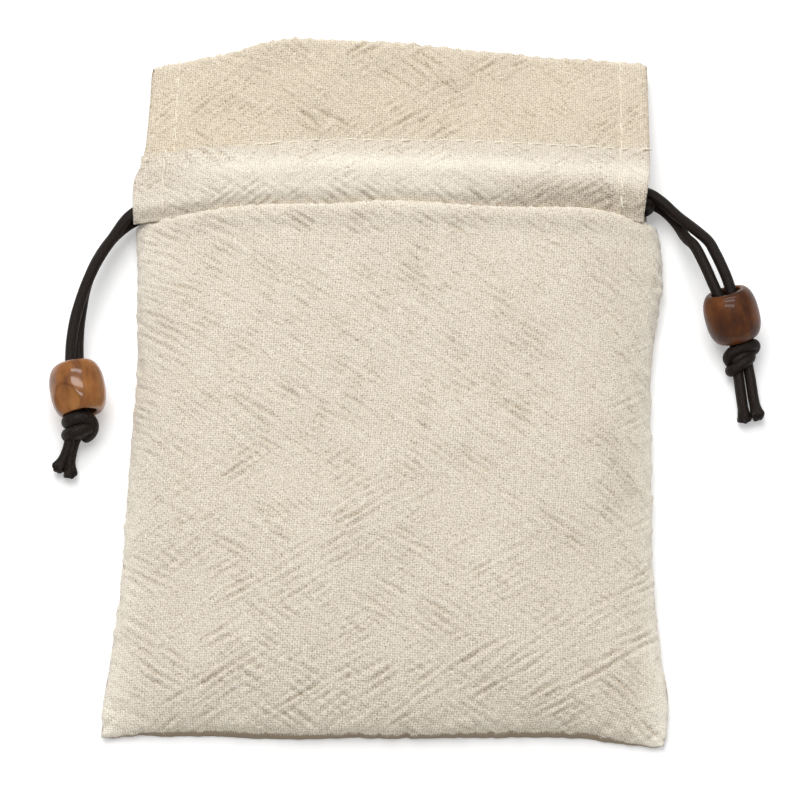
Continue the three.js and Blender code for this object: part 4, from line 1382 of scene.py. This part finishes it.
def sew_front():
    """The upper stitch line of the front, its side hems and a loose stitch at a corner."""
    normal = surface_normals(front_points)
    outer_rows = np.where(front_outer)[0]
    seam_row = outer_rows[np.argmin(np.abs(front_rows[outer_rows] - 1.035))]
    paths = [along_columns(front_points, normal, seam_row, 3, -2, THREAD_LIFT)]
    header = [j for j in outer_rows if 1.06 <= front_rows[j] < 1.985]
    casing = [j for j in outer_rows if 0.12 < front_rows[j] <= 0.97]
    corner = [j for j in outer_rows if 0.8 < front_rows[j] <= 1.02]
    for x, rows in ((-43.1, header), (43.5, header), (-44.7, casing), (43.2, casing),
                    (-48.1, corner)):
        paths.append(down_rows(front_points, normal, x, rows, THREAD_LIFT))
    return sew("front_neck_stitches", paths, 4)


def sew_back():
    """The upper stitch line of the back, on its two faces."""
    normal = -surface_normals(back_points)
    paths = []
    for rows in (np.arange(len(back_rows) // 2), np.arange(len(back_rows) // 2, len(back_rows))):
        row = rows[np.argmin(np.abs(back_rows[rows] - 1.03))]
        paths.append(along_columns(back_points, normal, row, 2, -2, BACK_THREAD_LIFT))
    made = sew("back_neck_stitches", paths, 9)
    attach(made, "pouch")


sew_back()
front_stitches = sew_front()
for piece in (front_neck, front_stitches):
    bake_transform(piece)


# ---- Floor, light and background

AMBIENT = 0.44              # strength of the room's light on the object
FLOOR_REACH = 3.0           # metres


def pale_floor():
    """A pale floor that also glows where the camera sees it, more so far from the object."""
    finish, tree, shader = new_finish("plain_pale_floor")
    seen = make_node(tree, "ShaderNodeLightPath")
    rays = math_node(tree, "MAXIMUM", seen.outputs["Is Camera Ray"], seen.outputs["Is Glossy Ray"])
    rays = math_node(tree, "MAXIMUM", rays, seen.outputs["Is Transmission Ray"])
    faint = make_node(tree, "ShaderNodeTexNoise", {"Scale": 3.0, "Detail": 1.0}).outputs[0]
    tone = ramp_colour(tree, faint, (0.0, (0.90, 0.90, 0.90)), (1.0, (0.92, 0.92, 0.92)))
    place = make_node(tree, "ShaderNodeTexCoord").outputs["Object"]
    distance = make_node(tree, "ShaderNodeVectorMath", {0: place}, operation="LENGTH").outputs[1]
    far = make_node(tree, "ShaderNodeMapRange", {
        "Value": distance, "From Min": 0.3, "From Max": 1.6, "To Min": 0.25, "To Max": 0.9,
    }).outputs[0]
    glow = math_node(tree, "MULTIPLY", rays, far)
    tree.links.new(glow, shader.inputs["Emission Strength"])
    dress(tree, shader, tone, {
        "Roughness": 0.9, "Specular IOR Level": 0.1, "Emission Color": (1.0, 1.0, 1.0, 1.0),
    })
    mesh = bpy.data.meshes.new("floor")
    corners = ((-1, -1), (1, -1), (1, 1), (-1, 1))
    mesh.from_pydata([(FLOOR_REACH * x, FLOOR_REACH * y, 0) for x, y in corners], [],
                     [(0, 1, 2, 3)])
    mesh.materials.append(finish)
    floor = bpy.data.objects.new("floor", mesh)
    scene.collection.objects.link(floor)


def white_room():
    """Even light from all sides, seen by the camera as white."""
    world = bpy.data.worlds.new("white_room")
    scene.world = world
    world.use_nodes = True
    tree = world.node_tree
    ground = tree.nodes["Background"]
    seen = make_node(tree, "ShaderNodeLightPath")
    rays = math_node(tree, "MAXIMUM", seen.outputs["Is Camera Ray"],
                     seen.outputs["Is Transmission Ray"])
    strength = math_node(tree, "ADD", math_node(tree, "MULTIPLY", rays, 1.0 - AMBIENT), AMBIENT)
    tree.links.new(strength, ground.inputs["Strength"])
    ground.inputs["Color"].default_value = (1.0, 1.0, 1.0, 1.0)


def soft_lamp(name, place, aim, width, height, power, mirrored=False, spread=True):
    """An area lamp. Mirrored: seen in gloss. Spread: it lights matt surfaces."""
    data = bpy.data.lights.new(name, "AREA")
    data.shape = "RECTANGLE"
    data.size = width
    data.size_y = height
    data.energy = power
    lamp = bpy.data.objects.new(name, data)
    scene.collection.objects.link(lamp)
    lamp.location = place
    lamp.rotation_mode = "QUATERNION"
    lamp.rotation_quaternion = (Vector(aim) - Vector(place)).to_track_quat("-Z", "Y")
    lamp.visible_glossy = mirrored
    lamp.visible_diffuse = spread


pale_floor()
white_room()
soft_lamp("window_behind", (-0.22, 0.72, 0.80), (0.0, 0.0, 0.0), 0.5, 0.4, 3.3)
soft_lamp("overhead_softbox", (-0.06, 0.16, 0.62), (0.0, 0.03, 0.0), 0.5, 0.35, 1.85)
soft_lamp("left_front_fill", (-0.50, -0.45, 0.45), (0.0, 0.0, 0.0), 0.5, 0.5, 0.34)
soft_lamp("right_front_fill", (0.55, -0.30, 0.42), (0.0, 0.0, 0.0), 0.5, 0.5, 0.36)
for k in range(3):
    soft_lamp("ceiling_strip_%d" % (k + 1), (-0.06, -0.30 + 0.42 * k, 1.0), (-0.06, 0.0, 0.0),
              0.75, 0.17, 3.0, mirrored=True, spread=False)
